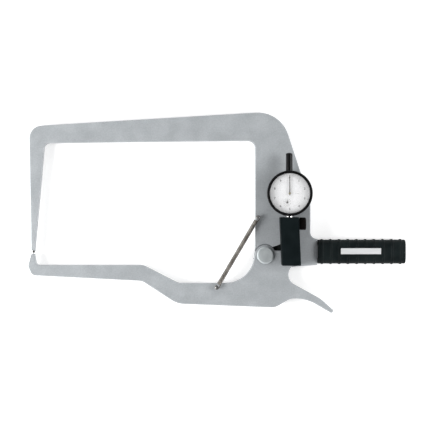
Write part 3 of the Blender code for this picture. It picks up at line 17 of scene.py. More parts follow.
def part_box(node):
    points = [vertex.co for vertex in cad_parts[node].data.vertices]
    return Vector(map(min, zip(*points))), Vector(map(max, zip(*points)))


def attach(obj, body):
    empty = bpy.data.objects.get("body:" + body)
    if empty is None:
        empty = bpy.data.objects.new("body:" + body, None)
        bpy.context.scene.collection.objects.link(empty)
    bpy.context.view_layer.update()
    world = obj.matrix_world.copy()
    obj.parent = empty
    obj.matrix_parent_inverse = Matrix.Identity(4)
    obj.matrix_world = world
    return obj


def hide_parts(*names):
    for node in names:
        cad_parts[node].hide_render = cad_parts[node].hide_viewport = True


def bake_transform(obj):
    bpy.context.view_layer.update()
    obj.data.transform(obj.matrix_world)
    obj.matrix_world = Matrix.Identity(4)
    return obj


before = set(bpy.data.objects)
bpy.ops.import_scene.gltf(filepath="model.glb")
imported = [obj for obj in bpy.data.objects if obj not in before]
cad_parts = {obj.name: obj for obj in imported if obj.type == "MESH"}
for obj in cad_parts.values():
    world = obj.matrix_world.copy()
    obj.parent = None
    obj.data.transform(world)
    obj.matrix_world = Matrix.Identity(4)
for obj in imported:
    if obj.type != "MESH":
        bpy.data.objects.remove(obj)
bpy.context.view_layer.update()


# Bench and camera: the camera hangs straight above the bench. It is set from the photograph's
# scale at the front of the plate and from where the pivot's axis shows in the picture.
MM = 0.001  # turns a length in millimetres to metres, where a mesh or a place is set
PICTURE_PIXELS = 430
PIXEL = 1.2  # at the front of the plate
PIVOT_PIXEL = (265.4, 255.1)
CAMERA_DISTANCE = 1440.0
BENCH_SIZE = 3000.0
BENCH_DROP = 0.2  # under the back of the grip
BENCH_WHITE = 0.80
BENCH_GLOW = 0.42  # to the camera and in reflections


def placed(name, data):
    """An object of that mesh, light or camera in the scene."""
    made = bpy.data.objects.new(name, data)
    bpy.context.scene.collection.objects.link(made)
    return made


shaft_low, shaft_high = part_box("pivot_shaft")
shaft_middle = (shaft_low + shaft_high) / 2
pivot_x, pivot_y = shaft_middle.x / MM, shaft_middle.y / MM
plate_back, plate_front = (corner.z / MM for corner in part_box("frame"))
half_picture = PICTURE_PIXELS / 2
aim_x = pivot_x + (half_picture - PIVOT_PIXEL[0]) * PIXEL
aim_y = pivot_y + (PIVOT_PIXEL[1] - half_picture) * PIXEL

lens_data = bpy.data.cameras.new("camera")
lens_data.lens = lens_data.sensor_width * CAMERA_DISTANCE / (PICTURE_PIXELS * PIXEL)
lens_data.clip_end = 10.0
camera = placed("camera", lens_data)
camera.location = np.array([aim_x, aim_y, plate_front + CAMERA_DISTANCE]) * MM
bpy.context.scene.camera = camera
bpy.context.scene.view_settings.view_transform = "Standard"


def node(tree, kind, **sockets):
    """A shader node, its sockets given by name with _ for a space: each is set to a value or
    linked to another node's output."""
    made = tree.nodes.new("ShaderNode" + kind)
    for name, value in sockets.items():
        socket = made.inputs[name.replace("_", " ")]
        if isinstance(value, bpy.types.NodeSocket):
            tree.links.new(value, socket)
        else:
            socket.default_value = value
    return made


def white_card(name, diffuse, glow):
    """A matt white surface that looks paper white to the camera and in reflections."""
    look = bpy.data.materials.new(name)
    look.use_nodes = True
    tree = look.node_tree
    tree.nodes.clear()
    path = node(tree, "LightPath")
    seen = node(tree, "Math", Value=path.outputs["Is Camera Ray"])
    seen.operation = "MAXIMUM"
    tree.links.new(path.outputs["Is Glossy Ray"], seen.inputs[1])
    share = node(tree, "Math", Value=seen.outputs[0])
    share.operation = "MULTIPLY"
    share.inputs[1].default_value = glow
    matt = node(tree, "BsdfDiffuse", Color=(diffuse, diffuse, diffuse, 1))
    light = node(tree, "Emission", Color=(1, 1, 1, 1), Strength=share.outputs[0])
    both = node(tree, "AddShader", Shader=matt.outputs[0])
    tree.links.new(light.outputs[0], both.inputs[1])
    node(tree, "OutputMaterial", Surface=both.outputs[0])
    return look


QUARTERS = ((-1, -1), (1, -1), (1, 1), (-1, 1))
half_bench = BENCH_SIZE / 2 * MM
bench_mesh = bpy.data.meshes.new("bench")
bench_corners = [(x * half_bench, y * half_bench, 0) for x, y in QUARTERS]
bench_mesh.from_pydata(bench_corners, [], [(0, 1, 2, 3)])
bench_mesh.materials.append(white_card("bench_white", BENCH_WHITE, BENCH_GLOW))
bench = placed("bench", bench_mesh)
bench.location.z = -BENCH_DROP * MM

# Lights: a large soft box low on the left, a weaker one on the right, and a pale room whose
# ceiling is dark
ROOM_LEVEL = 1.1
CEILING_LEVEL = 0.04  # round the camera, so that black faces stay black
WALL_TOP = 0.55  # the upward share of a direction where the room starts to darken
CEILING_EDGE = 0.93  # and where it is as dark as the ceiling
LAMPS = (  # name, place and size in metres, watts
    ("key_box", (-1.15, -0.25, 0.85), 0.7, 19.0),
    ("fill_box", (1.15, 0.05, 0.75), 0.6, 9.0),
)
room = bpy.data.worlds.new("room")
room.use_nodes = True
room_tree = room.node_tree
room_way = node(room_tree, "TexCoord")
room_parts = node(room_tree, "SeparateXYZ", Vector=room_way.outputs["Generated"])
room_fall = node(room_tree, "MapRange", Value=room_parts.outputs["Z"], From_Min=WALL_TOP,
                 From_Max=CEILING_EDGE, To_Min=ROOM_LEVEL, To_Max=CEILING_LEVEL)
room_light = room_tree.nodes["Background"]
room_light.inputs["Color"].default_value = (1, 1, 1, 1)
room_tree.links.new(room_fall.outputs["Result"], room_light.inputs["Strength"])
bpy.context.scene.world = room
for lamp_name, lamp_place, lamp_size, lamp_watts in LAMPS:
    lamp_data = bpy.data.lights.new(lamp_name, "AREA")
    lamp_data.size = lamp_size
    lamp_data.energy = lamp_watts
    lamp = placed(lamp_name, lamp_data)
    lamp.location = lamp_place
    lamp.rotation_euler = (-Vector(lamp_place)).to_track_quat("-Z", "Y").to_euler()


# Frame: a cast light-alloy plate with the long beam, the fixed jaw and the tang, sprayed with
# silver-grey hammer paint. Round the pivot only its rear half is left, under a pocket.
FINE_STEPS = 13  # points on a rounded corner
CASTING_EDGE = 0.95
EDGE_STEPS = 6
RIM = 0.3  # keeps the flat faces flat in the shading
LEAST_MITRE = 0.4  # a sharper corner isn't drawn out further
WELD = 0.0005
COAT_ROUGHNESS = 0.12
GRAIN_ROUGHNESS = 0.55
LAP_GAP = 0.15
plate_middle = (plate_back + plate_front) / 2
lap_level = plate_middle - LAP_GAP
LAP_RIM = 0.01  # how near a face lies to the lap's level to count as the lap face, which takes the painted shade
PAINTED_SHADE_X = (pivot_x + 7.0, pivot_x + 10.0)  # from paint colour to painted shade
PAINTED_SHADE_Y = (pivot_y, pivot_y + 3.0)
AT_PIVOT = (pivot_x, pivot_y, 0)  # sizes below are taken from the pivot's axis

HUB_RADIUS = 12.5
COLUMN_X = -12.24
PIVOT_END_RADIUS = 13.1
POCKET_RIM = 13.0
POCKET_RADIUS = 40.0
JAW_RADIUS = 278.8
JAW_TIP_Y = 5.5
JAW_TIP_ROUND = 1.2
SWING = math.radians(20.55)
EXTENSION_TOP = 5.4
POCKET_TOP = 5.9
HEEL = (31.9, -14.3)
SHOULDER_X = 62.4
SHOULDER_LOW = -11.9
SHOULDER_HIGH = 19.6
TANG_LOW = -3.85
TANG_HIGH = 12.15
TANG_END_X = 160.8


def arc(centre, radius, start, end, steps):
    """Points at equal turns from start to end on a circle, as corners that aren't rounded."""
    turns = np.linspace(start, end, steps)
    x = centre[0] + radius * np.cos(turns)
    y = centre[1] + radius * np.sin(turns)
    return np.stack([x, y, np.zeros(steps)], 1)


def unit(rows):
    """Each row as a direction of length one."""
    return rows / np.maximum(np.linalg.norm(rows, axis=1, keepdims=True), 1e-9)


def rounded(corners, steps=FINE_STEPS):
    """The corners (x, y, radius) of a loop, each replaced by its arc.

    The arc's centre lies on the corner's bisector at radius / sin(half the corner), and the
    arc runs between the two feet at radius / tan(half the corner) along the sides.
    """
    corners = np.asarray(corners, float)
    here, radius = corners[:, :2], corners[:, 2]
    before = unit(np.roll(here, 1, 0) - here)
    after = unit(np.roll(here, -1, 0) - here)
    half = np.arccos(np.clip((before * after).sum(1), -1, 1)) / 2
    centre = here + unit(before + after) * (radius / np.sin(half))[:, None]
    reach = (radius / np.tan(np.maximum(half, 1e-9)))[:, None]
    first = here + before * reach - centre
    last = here + after * reach - centre
    start = np.arctan2(first[:, 1], first[:, 0])
    sweep = np.arctan2(last[:, 1], last[:, 0]) - start
    sweep = (sweep + np.pi) % (2 * np.pi) - np.pi
    turns = start[:, None] + sweep[:, None] * np.linspace(0, 1, steps)
    points = centre[:, None] + radius[:, None, None] * np.stack([np.cos(turns), np.sin(turns)], 2)
    keep = np.ones((len(corners), steps), bool)
    keep[radius == 0, 1:] = False
    points[radius == 0, 0] = here[radius == 0]
    return points[keep]


def inset(loop, depth):
    """The loop moved inwards by depth along its mitred normals; a hole's loop grows."""
    ahead = unit(np.roll(loop, -1, 0) - loop)
    normal = unit(ahead + np.roll(ahead, 1, 0))
    mitre = np.clip((normal * ahead).sum(1, keepdims=True), LEAST_MITRE, 1)
    inward = np.stack([-normal[:, 1], normal[:, 0]], 1)
    return loop + inward * depth / mitre


def turned_way(loop, anticlockwise):
    """The loop in the wanted sense, by the sign of its area."""
    x, y = loop.T
    area = (x * np.roll(y, -1) - y * np.roll(x, -1)).sum()
    return loop if (area > 0) == anticlockwise else loop[::-1]


def plate(outline, holes, low, high, back_edge, front_edge):
    """A flat plate: each loop's side wall is its outline carried through a profile whose two
    ends are quarter rounds of the edge sizes, each with a narrow flat rim inside it, and both
    faces are tessellated between the rims."""
    ease = np.linspace(0, np.pi / 2, EDGE_STEPS)
    back_side = back_edge * (1 - np.sin(ease)), low + back_edge * (1 - np.cos(ease))
    front_side = front_edge * (1 - np.cos(ease)), high - front_edge * (1 - np.sin(ease))
    depths = [[back_edge + RIM], back_side[0], front_side[0], [front_edge + RIM]]
    levels = [[low], back_side[1], front_side[1], [high]]
    depths, levels = np.concatenate(depths), np.concatenate(levels)
    points, faces, start = [], [], 0
    back_loops, front_loops, ends = [], [], []
    for loop in [turned_way(outline, True)] + [turned_way(h, False) for h in holes]:
        count = len(loop)
        rings = [
            np.column_stack([inset(loop, depth), np.full(count, level)])
            for depth, level in zip(depths, levels)
        ]
        points.append(np.concatenate(rings))
        row = start + np.arange(len(rings) - 1)[:, None] * count
        a = row + np.arange(count)
        b = row + (np.arange(count) + 1) % count
        faces += np.stack([a, b, b + count, a + count], 2).reshape(-1, 4).tolist()
        back_loops.append(rings[0])
        front_loops.append(rings[-1])
        ends.append((start, start + (len(rings) - 1) * count, count))
        start += len(rings) * count
    for loops, side in ((back_loops, 0), (front_loops, 1)):
        lookup = np.concatenate([end[side] + np.arange(end[2]) for end in ends])
        triangles = tessellate_polygon([[Vector(p * MM) for p in loop] for loop in loops])
        faces += lookup[np.array(triangles)].tolist()
    return np.concatenate(points), faces


def joined(*parts):
    """Several (points, faces) as one."""
    points, faces, start = [], [], 0
    for some_points, some_faces in parts:
        points.append(some_points)
        faces += [[start + i for i in face] for face in some_faces]
        start += len(some_points)
    return np.concatenate(points), faces


def welded(name, points, faces):
    """A mesh with its double points joined and its faces turned outwards."""
    mesh = bpy.data.meshes.new(name)
    mesh.from_pydata((points * MM).tolist(), [], faces)
    work = bmesh.new()
    work.from_mesh(mesh)
    bmesh.ops.remove_doubles(work, verts=work.verts, dist=WELD * MM)
    bmesh.ops.recalc_face_normals(work, faces=work.faces)
    work.to_mesh(mesh)
    work.free()
    return mesh


def fit(name, shape, look, body, stands_for=None, sharp=40, place=(0, 0, 0)):
    """Make a piece of the instrument: its mesh in place, its finish, and the body it rides on."""
    points, faces = shape
    mesh = welded(name, points + np.array(place), faces)
    mesh.materials.append(look)
    mesh.shade_smooth()
    mesh.set_sharp_from_angle(angle=math.radians(sharp))
    made = placed(name, mesh)
    if body:
        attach(made, body)
    if stands_for:
        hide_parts(stands_for)
    return made


def shader_of(name, roughness, metallic=0.0, coat=0.0, specular=0.5):
    """A new material, its node tree and its shader."""
    look = bpy.data.materials.new(name)
    look.use_nodes = True
    shader = look.node_tree.nodes["Principled BSDF"]
    shader.inputs["Roughness"].default_value = roughness
    shader.inputs["Metallic"].default_value = metallic
    shader.inputs["Coat Weight"].default_value = coat
    shader.inputs["Coat Roughness"].default_value = COAT_ROUGHNESS
    shader.inputs["Specular IOR Level"].default_value = specular
    return look, look.node_tree, shader


def grain(tree, scale, detail=3.0, stretch=(1, 1, 1)):
    """Cloudy noise on the piece's own coordinates, scale features to a metre."""
    place = node(tree, "TexCoord")
    put = node(tree, "Mapping", Vector=place.outputs["Object"], Scale=stretch)
    cloud = node(tree, "TexNoise", Vector=put.outputs["Vector"], Scale=scale, Detail=detail,
                 Roughness=GRAIN_ROUGHNESS)
    return cloud.outputs["Fac"]


def tint(tree, shader, source, dark, light, low=0.35, high=0.65):
    """The shader's colour runs from dark to light with the source."""
    ramp = node(tree, "ValToRGB", Fac=source)
    first, last = ramp.color_ramp.elements
    first.position, first.color = low, (*dark, 1)
    last.position, last.color = high, (*light, 1)
    tree.links.new(ramp.outputs["Color"], shader.inputs["Base Color"])


def sheen_spread(tree, shader, source, low, high):
    """The shader's roughness runs from low to high with the source."""
    spread = node(tree, "MapRange", Value=source, To_Min=low, To_Max=high)
    tree.links.new(spread.outputs["Result"], shader.inputs["Roughness"])


def relief(tree, shader, source, height, strength):
    """The source as a relief of this height."""
    bump = node(tree, "Bump", Strength=strength, Distance=height * MM, Height=source)
    tree.links.new(bump.outputs["Normal"], shader.inputs["Normal"])


def hammer_paint(name, dark, light):
    """Silver hammer paint: small soft pools of lacquer with a faint cloud over them."""
    look, tree, shader = shader_of(name, 0.42, metallic=0.25, coat=0.12)
    pools = grain(tree, 620.0, 1.5)
    both = node(tree, "Mix", Factor=0.45, A=grain(tree, 45.0, 2.0), B=pools)
    tint(tree, shader, both.outputs["Result"], dark, light, 0.36, 0.64)
    sheen_spread(tree, shader, pools, 0.34, 0.52)
    relief(tree, shader, pools, 0.06, 0.55)
    return look


def oiled_lap_face():
    """The face that the castings slide on: grey like the paint near the hub's rim, and right of
    the hub, up in the pocket, darkened with painted shade where the pocket's walls would shade it."""
    look, tree, shader = shader_of("oiled_lap_face", 0.5, metallic=0.2, specular=0.2)
    place = node(tree, "TexCoord")
    parts = node(tree, "SeparateXYZ", Vector=place.outputs["Object"])
    both = node(tree, "Math")
    both.operation = "MINIMUM"
    for socket, axis, (start, end) in zip(both.inputs, "XY", (PAINTED_SHADE_X, PAINTED_SHADE_Y)):
        share = node(tree, "MapRange", Value=parts.outputs[axis], From_Min=start * MM,
                     From_Max=end * MM)
        tree.links.new(share.outputs["Result"], socket)
    # the colour runs from the paint's grey to near black: painted shade up in the pocket
    tint(tree, shader, both.outputs["Value"], (0.36, 0.38, 0.4), (0.02, 0.024, 0.023), 0.1, 0.9)
    sheen_spread(tree, shader, grain(tree, 700.0), 0.42, 0.6)
    return look


grey_paint = hammer_paint("grey_hammer_paint", (0.345, 0.366, 0.382), (0.44, 0.464, 0.482))
jaw_side = [  # corners are x, y and radius
    (-JAW_RADIUS + 2.1, JAW_TIP_Y, JAW_TIP_ROUND),
    (-JAW_RADIUS + 13.4, 134.4, 6.6),
    (COLUMN_X, 137.4, 9.1),
]
column_turn = math.pi / 2 - math.asin(COLUMN_X / PIVOT_END_RADIUS)
frame_outline = rounded([
    *jaw_side,
    *arc((0, 0), PIVOT_END_RADIUS, column_turn, 1.5 * math.pi, 40),
    (*HEEL, 1.5),
    (SHOULDER_X, SHOULDER_LOW, 0),
    (SHOULDER_X, TANG_LOW, 0),
    (TANG_END_X, TANG_LOW, 4.0),
    (TANG_END_X, TANG_HIGH, 4.0),
    (SHOULDER_X, TANG_HIGH, 0),
    (SHOULDER_X, SHOULDER_HIGH, 0),
    (54.2, SHOULDER_HIGH, 7.8),
    (54.2, 63.6, 16.0),
    (18.1, 173.0, 38.4),
    (-283.7, 154.8, 15.6),
    (-JAW_RADIUS - 2.4, JAW_TIP_Y, JAW_TIP_ROUND),
])

# In front of the lap the frame ends at the pocket that the arm swings in: round the hub,
# along the top of the arm's short end, and down its reach to the frame's lower edge.
pocket_start = math.pi - math.acos(-COLUMN_X / POCKET_RIM)
pocket_turn = math.asin(POCKET_TOP / POCKET_RIM) + SWING
pocket_reach = math.asin(POCKET_TOP / POCKET_RADIUS) + SWING
heel_slope = (SHOULDER_LOW - HEEL[1]) / (SHOULDER_X - HEEL[0])
foot = HEEL[1] - heel_slope * HEEL[0]
lean = 1 + heel_slope**2
foot_x = (math.sqrt(lean * POCKET_RADIUS**2 - foot**2) - heel_slope * foot) / lean
pocket_foot = math.atan2(foot + heel_slope * foot_x, foot_x)
shoulder_away = np.hypot(*(frame_outline - (SHOULDER_X, SHOULDER_LOW)).T)
frame_front = np.concatenate([
    rounded([
        *jaw_side,
        *arc((0, 0), POCKET_RIM, pocket_start, pocket_turn, 32),
        *arc((0, 0), POCKET_RADIUS, pocket_reach, pocket_foot, 24),
    ]),
    frame_outline[np.argmax(shoulder_away < WELD):],
])
frame_casting = fit(
    "frame_casting",
    joined(
        plate(frame_outline, [], plate_back, lap_level, CASTING_EDGE, 0.0),
        plate(frame_front, [], lap_level - LAP_GAP, plate_front, 0.0, CASTING_EDGE),
    ),
    grey_paint, "frame_body", "frame", place=AT_PIVOT,
)
# the lap face, where it shows in the pocket, is darkened with painted shade
frame_casting.data.materials.append(oiled_lap_face())
for face in frame_casting.data.polygons:
    if abs(face.center.z / MM - lap_level) < LAP_RIM and face.normal.z > 0.9:
        face.material_index = 1


# Measuring arm: the second casting, in the same paint. It laps over the frame at the pivot
# with its front half, so its round hub and short end stand free in the frame's pocket.
NOTCH_RADIUS = 13.6
NOTCH_CENTRE = (41.40, -23.40)
NOTCH_START = math.radians(245.0)
NOTCH_TURN = math.radians(141.31)
NOTCH_TURN_BEHIND = math.radians(193.3)
EXTENSION_RADIUS = 34.2
EXTENSION_TURN = math.radians(-25.82)
CROOK_CENTRE = (-47.5, 0.7)
CROOK_RADIUS = 34.3
CROOK_TURN_BEHIND = math.radians(-5.47)
RECESS_RIM = 13.6
RECESS_TURN = math.radians(190.87)
NOSE_Y = 1.4
NOSE_ROUND = 0.9
BUSH_HOLE = 6.05


def circle(centre, radius, steps):
    """A whole circle as a loop of points."""
    return arc(centre, radius, 0, 2 * math.pi, steps + 1)[:-1, :2]


lower_side = [
    (-281.1, NOSE_Y, NOSE_ROUND),
    (-285.3, -13.4, 5.0),
    (-280.4, -24.3, 7.0),
    (-148.0, -31.0, 14.0),
    (-106.0, -58.3, 30.0),
    (11.5, -63.0, 14.0),
    (30.0, -52.3, 16.0),
    (50.0, -52.5, 45.0),
    (79.5, -70.0, 2.0),
    (82.4, -66.6, 2.0),
    (66.5, -52.6, 40.0),
]
upper_side = [
    (-104.4, -33.6, 14.0),
    (-146.9, -11.9, 14.0),
    (-275.3, -11.9, 4.2),
    (-276.8, NOSE_Y, NOSE_ROUND),
]
tip_turn = math.asin(EXTENSION_TOP / EXTENSION_RADIUS)
hub_turn = math.asin(EXTENSION_TOP / HUB_RADIUS)
hub_end = math.pi - math.asin(CROOK_CENTRE[1] / HUB_RADIUS)
arm_front = rounded([
    *lower_side,
    *arc(NOTCH_CENTRE, NOTCH_RADIUS, NOTCH_START, NOTCH_TURN, 24),
    *arc((0, 0), EXTENSION_RADIUS, EXTENSION_TURN, tip_turn, 16)[1:],
    *arc((0, 0), HUB_RADIUS, hub_turn, hub_end, 48),
    *arc(CROOK_CENTRE, CROOK_RADIUS, 0, -math.pi / 2, 30)[1:],
    *upper_side,
])
heel_turn = math.atan2(HEEL[1] + PIVOT_END_RADIUS, HEEL[0]) - SWING
arm_back = rounded([
    *lower_side,
    *arc(NOTCH_CENTRE, NOTCH_RADIUS, NOTCH_START, NOTCH_TURN_BEHIND, 12),
    *arc((0, 0), RECESS_RIM, heel_turn + 1.5 * math.pi, RECESS_TURN, 16),
    *arc(CROOK_CENTRE, CROOK_RADIUS, CROOK_TURN_BEHIND, -math.pi / 2, 28)[1:],
    *upper_side,
])
bush_hole = circle((0, 0), BUSH_HOLE, 48)
arm_level = plate_middle + LAP_GAP
fit(
    "arm_casting",
    joined(
        plate(arm_back, [], plate_back, arm_level + LAP_GAP, CASTING_EDGE, 0.0),
        plate(arm_front, [bush_hole], arm_level, plate_front, 0.0, CASTING_EDGE),
    ),
    grey_paint, "arm_body", "measuring_arm", place=AT_PIVOT,
)


# Contacts: a hardened ball on a stem pressed into each jaw's end. The fixed one is blackened,
# the moving one bright, and they meet at the middle of the plate.
BALL_RADIUS = 1.5
BALL_STEM = 1.1
SEAT_DEPTH = 6.0
STEM_CHAMFER = 0.4


def skin(grid, ring=False):
    """Quads over rows of points that each close on themselves; a ring's rows close too, and
    the points at a pole are welded later."""
    rows, columns = grid.shape[:2]
    index = np.arange(rows * columns).reshape(rows, columns)
    index = np.hstack([index, index[:, :1]])
    if ring:
        index = np.vstack([index, index[:1]])
    corners = (index[:-1, :-1], index[:-1, 1:], index[1:, 1:], index[1:, :-1])
    return grid.reshape(-1, 3), np.stack(corners, -1).reshape(-1, 4).tolist()


def laid_round(radius, height, ring=False, axis="z", place=(0, 0, 0)):
    """Rows of points in equal steps round the axis, each point with a radius of its own. A
    ring's rows lead back to the first; any others run from pole to pole."""
    turns = np.linspace(0, 2 * np.pi, radius.shape[1], endpoint=False)
    across, beside = radius * np.cos(turns), radius * np.sin(turns)
    along = height + 0 * turns
    order = {
        "x": (along, across, beside), "y": (beside, along, across), "z": (across, beside, along),
    }
    return skin(np.stack(order[axis], -1) + np.array(place), ring)


def turned(profile, sides=64, **way):
    """The profile (radius, height) turned about an axis."""
    radius, height = np.asarray(profile).T[..., None]
    return laid_round(np.repeat(radius, sides, 1), height, **way)


def ball_on_stem(seat_y, ball_y):
    """Profile of a contact: a ball, the stem under it, and the stem's end inside the jaw."""
    reach = abs(ball_y - seat_y)
    neck = math.asin(BALL_STEM / BALL_RADIUS)
    turns = np.linspace(0, math.pi - neck, 17)
    ball = np.stack([BALL_RADIUS * np.sin(turns), reach + BALL_RADIUS * np.cos(turns)], 1)
    stem = [(BALL_STEM, STEM_CHAMFER - SEAT_DEPTH), (BALL_STEM - STEM_CHAMFER, -SEAT_DEPTH)]
    profile = np.concatenate([ball, stem, [(0, -SEAT_DEPTH)]])
    return profile * (1, math.copysign(1, ball_y - seat_y))


def finish(name, roughness, dark, light, cloud, fine=None, sheen=None, bumps=None,
           span=(0.35, 0.65), **values):
    """A finish whose colour drifts from dark to light with a cloudy noise. A finer noise varies
    its sheen between two roughnesses and, where a height is given, raises its surface."""
    look, tree, shader = shader_of(name, roughness, **values)
    tint(tree, shader, grain(tree, *cloud), dark, light, *span)
    if fine:
        source = grain(tree, *fine)
        sheen_spread(tree, shader, source, *sheen)
        if bumps:
            relief(tree, shader, source, *bumps)
    return look


def worn_steel(name, dark, light, low, high, stretch=(1, 1, 1)):
    """Ground steel: fine scratches along one way and a faint cloud of handling."""
    return finish(name, low, dark, light, (160.0,), (900.0, 4.0, stretch), (low, high),
                  (0.01, 0.35), metallic=1.0)


blackened_steel = worn_steel("blackened_steel", (0.05, 0.048, 0.046), (0.11, 0.105, 0.1),
                             0.22, 0.4)
bright_steel = worn_steel("bright_steel", (0.56, 0.56, 0.57), (0.72, 0.72, 0.73), 0.16, 0.32,
                          stretch=(1, 8, 1))
CONTACTS = (  # name, body, seat, ball's middle, look, slot
    ("fixed_contact", "frame_body", 7.0, 3.8, blackened_steel, "dark_steel"),
    ("moving_contact", "arm_body", -0.3, 0.5, bright_steel, "steel"),
)
for contact_name, body, seat_y, ball_y, look, slot in CONTACTS:
    fit(
        contact_name + "_ball",
        turned(ball_on_stem(seat_y, ball_y), 40, axis="y",
               place=(-JAW_RADIUS, seat_y, plate_middle)),
        look, body, contact_name, place=AT_PIVOT,
    )


# Pivot: a headed shaft turned bright, its flat head with a wide bevel. It carries the arm's
# bronze bush and is held behind the frame by a washer and a thin hexagon nut.
HEAD_LOW = plate_front + 0.3
HEAD_HIGH = HEAD_LOW + 3.0
HEAD_RADIUS = 10.35
HEAD_BEVEL = 1.6
SHAFT_RADIUS = 4.0
SHAFT_END = 0.7
WASHER = (8.0, 4.3, 4.7, 5.7)  # rim, bore, low, high
NUT = (6.5, 4.3, 1.0, 4.4)  # half its width, bore, low, high
NUT_BEVEL = (0.96, 2.4)  # radius at the face as a share of the width, and how fast it grows

turned_steel, turned_tree, turned_shader = shader_of("turned_head_steel", 0.3, metallic=0.45)
turned_place = node(turned_tree, "TexCoord")
turned_put = node(turned_tree, "Mapping", Vector=turned_place.outputs["Object"],
                  Location=(-pivot_x * MM, -pivot_y * MM, 0))
turned_rings = node(turned_tree, "TexWave", Vector=turned_put.outputs["Vector"], Scale=150.0,
                    Distortion=0.6, Detail=2.0)
turned_rings.wave_type = "RINGS"
turned_rings.rings_direction = "Z"
tint(turned_tree, turned_shader, grain(turned_tree, 120.0), (0.5, 0.54, 0.55), (0.6, 0.64, 0.65))
sheen_spread(turned_tree, turned_shader, turned_rings.outputs["Fac"], 0.3, 0.42)
relief(turned_tree, turned_shader, turned_rings.outputs["Fac"], 0.01, 0.3)

head_profile = rounded([
    (0, HEAD_HIGH, 0),
    (HEAD_RADIUS - HEAD_BEVEL, HEAD_HIGH, 0.25),
    (HEAD_RADIUS, HEAD_HIGH - HEAD_BEVEL, 0.25),
    (HEAD_RADIUS, HEAD_LOW, 0.2),
    (SHAFT_RADIUS, HEAD_LOW, 0),
    (SHAFT_RADIUS, SHAFT_END, 0.5),
    (0, SHAFT_END, 0),
], 5)
fit("pivot_head", turned(head_profile, 128), turned_steel, "frame_body", "pivot_shaft",
    sharp=30, place=AT_PIVOT)


def ring_of(outer, inner, low, high, rounds, steps, sides, **way):
    """A turned ring. The corners of its section are rounded by the radii in rounds, in turn
    outer and high, outer and low, inner and low, inner and high."""
    corners = ((outer, high), (outer, low), (inner, low), (inner, high))
    section = rounded([(*corner, size) for corner, size in zip(corners, rounds)], steps)
    return turned(section, sides, ring=True, **way)


fit("pivot_washer_ring", ring_of(*WASHER, (0.2, 0.2, 0.1, 0.1), 4, 72), bright_steel,
    "frame_body", "pivot_washer", place=AT_PIVOT)


def hexagon_nut(half_width, bore, low, high, sides=72):
    """A nut whose radius is the smaller of the hexagon's at that angle and a cone's at that
    level, so that its corners are turned off as on a real one."""
    turns = np.linspace(0, 2 * np.pi, sides, endpoint=False)
    flats = half_width / np.cos((turns % (math.pi / 3)) - math.pi / 6)
    corner = half_width / math.cos(math.pi / 6)
    depths = np.array([0, 0.25, 0.5, 0.5 + 1e-3])
    levels = np.concatenate([low + depths, high - depths[::-1]])
    cones = half_width * NUT_BEVEL[0] + np.concatenate([depths, depths[::-1]]) * NUT_BEVEL[1]
    cones[3:5] = corner
    rings = np.minimum(flats, cones[:, None])
    radius = np.vstack([np.full(sides, bore), rings, np.full(sides, bore)])
    return laid_round(radius, np.concatenate([[low], levels, [high]])[:, None], ring=True)


fit("pivot_nut_hexagon", hexagon_nut(*NUT), bright_steel, "frame_body", "pivot_nut",
    sharp=25, place=AT_PIVOT)


# Gauge block: a leaning aluminium block anodised black, hollow behind over the cam. Two
# socket screws from behind hold it on the frame, and it is bored for the stem of the dial gauge.
SPINDLE_X = 27.88
SPINDLE_Z = 28.5
BLOCK_LOW_Y = -11.8
BLOCK_HIGH_Y = 45.5
BLOCK_LOW_X = 30.1
BLOCK_LEAN = 2.5
BLOCK_HALF = 11.1
BLOCK_BACK = 16.3
BLOCK_FRONT = 40.2
BLOCK_CORNER = 0.6
CAM_ROOM = (-7.6, 21.5, 7.7, 36.2)  # low, high, half its width, its roof
CAM_ROOM_CORNER = 1.2
STEM_RADIUS = 4.0
STEM_BORE = 4.3
CLAMP_Y = 37.8
SCREW_PLACES = (26.5, 40.5)
SCREW_BORE = 2.3
SCREW_BORE_END = 22.8
BEYOND = 2.0


def shape_of(made):
    """The points and faces of an object as its modifiers leave it."""
    state = made.evaluated_get(bpy.context.evaluated_depsgraph_get())
    mesh = bpy.data.meshes.new_from_object(state)
    points = np.array([vertex.co for vertex in mesh.vertices]) / MM
    return points, [list(face.vertices) for face in mesh.polygons]


def carve(shape, *cutters):
    """The shape with the cutters taken out of it."""
    meshes = [placed("carving", welded("carving", *part)) for part in (shape, *cutters)]
    for tool in meshes[1:]:
        cut = meshes[0].modifiers.new("cut", "BOOLEAN")
        cut.operation = "DIFFERENCE"
        cut.solver = "EXACT"
        cut.object = tool
    points, faces = shape_of(meshes[0])
    for made in meshes:
        bpy.data.objects.remove(made)
    return points, faces


def rod(radius, low, high, sides=40, axis="z", place=(0, 0, 0)):
    """A plain round tool for a bore."""
    profile = [(0, low), (radius, low), (radius, high), (0, high)]
    return turned(profile, sides, axis=axis, place=place)


def block_plan(low, high, half, corner):
    """The block's outline leans to the left as it goes up."""
    rise = np.array([low, high]) - BLOCK_LOW_Y
    low_x, high_x = BLOCK_LOW_X - rise * BLOCK_LEAN / (BLOCK_HIGH_Y - BLOCK_LOW_Y)
    low_side = [(low_x - half, low, corner), (low_x + half, low, corner)]
    high_side = [(high_x + half, high, corner), (high_x - half, high, corner)]
    return rounded(low_side + high_side, 7)


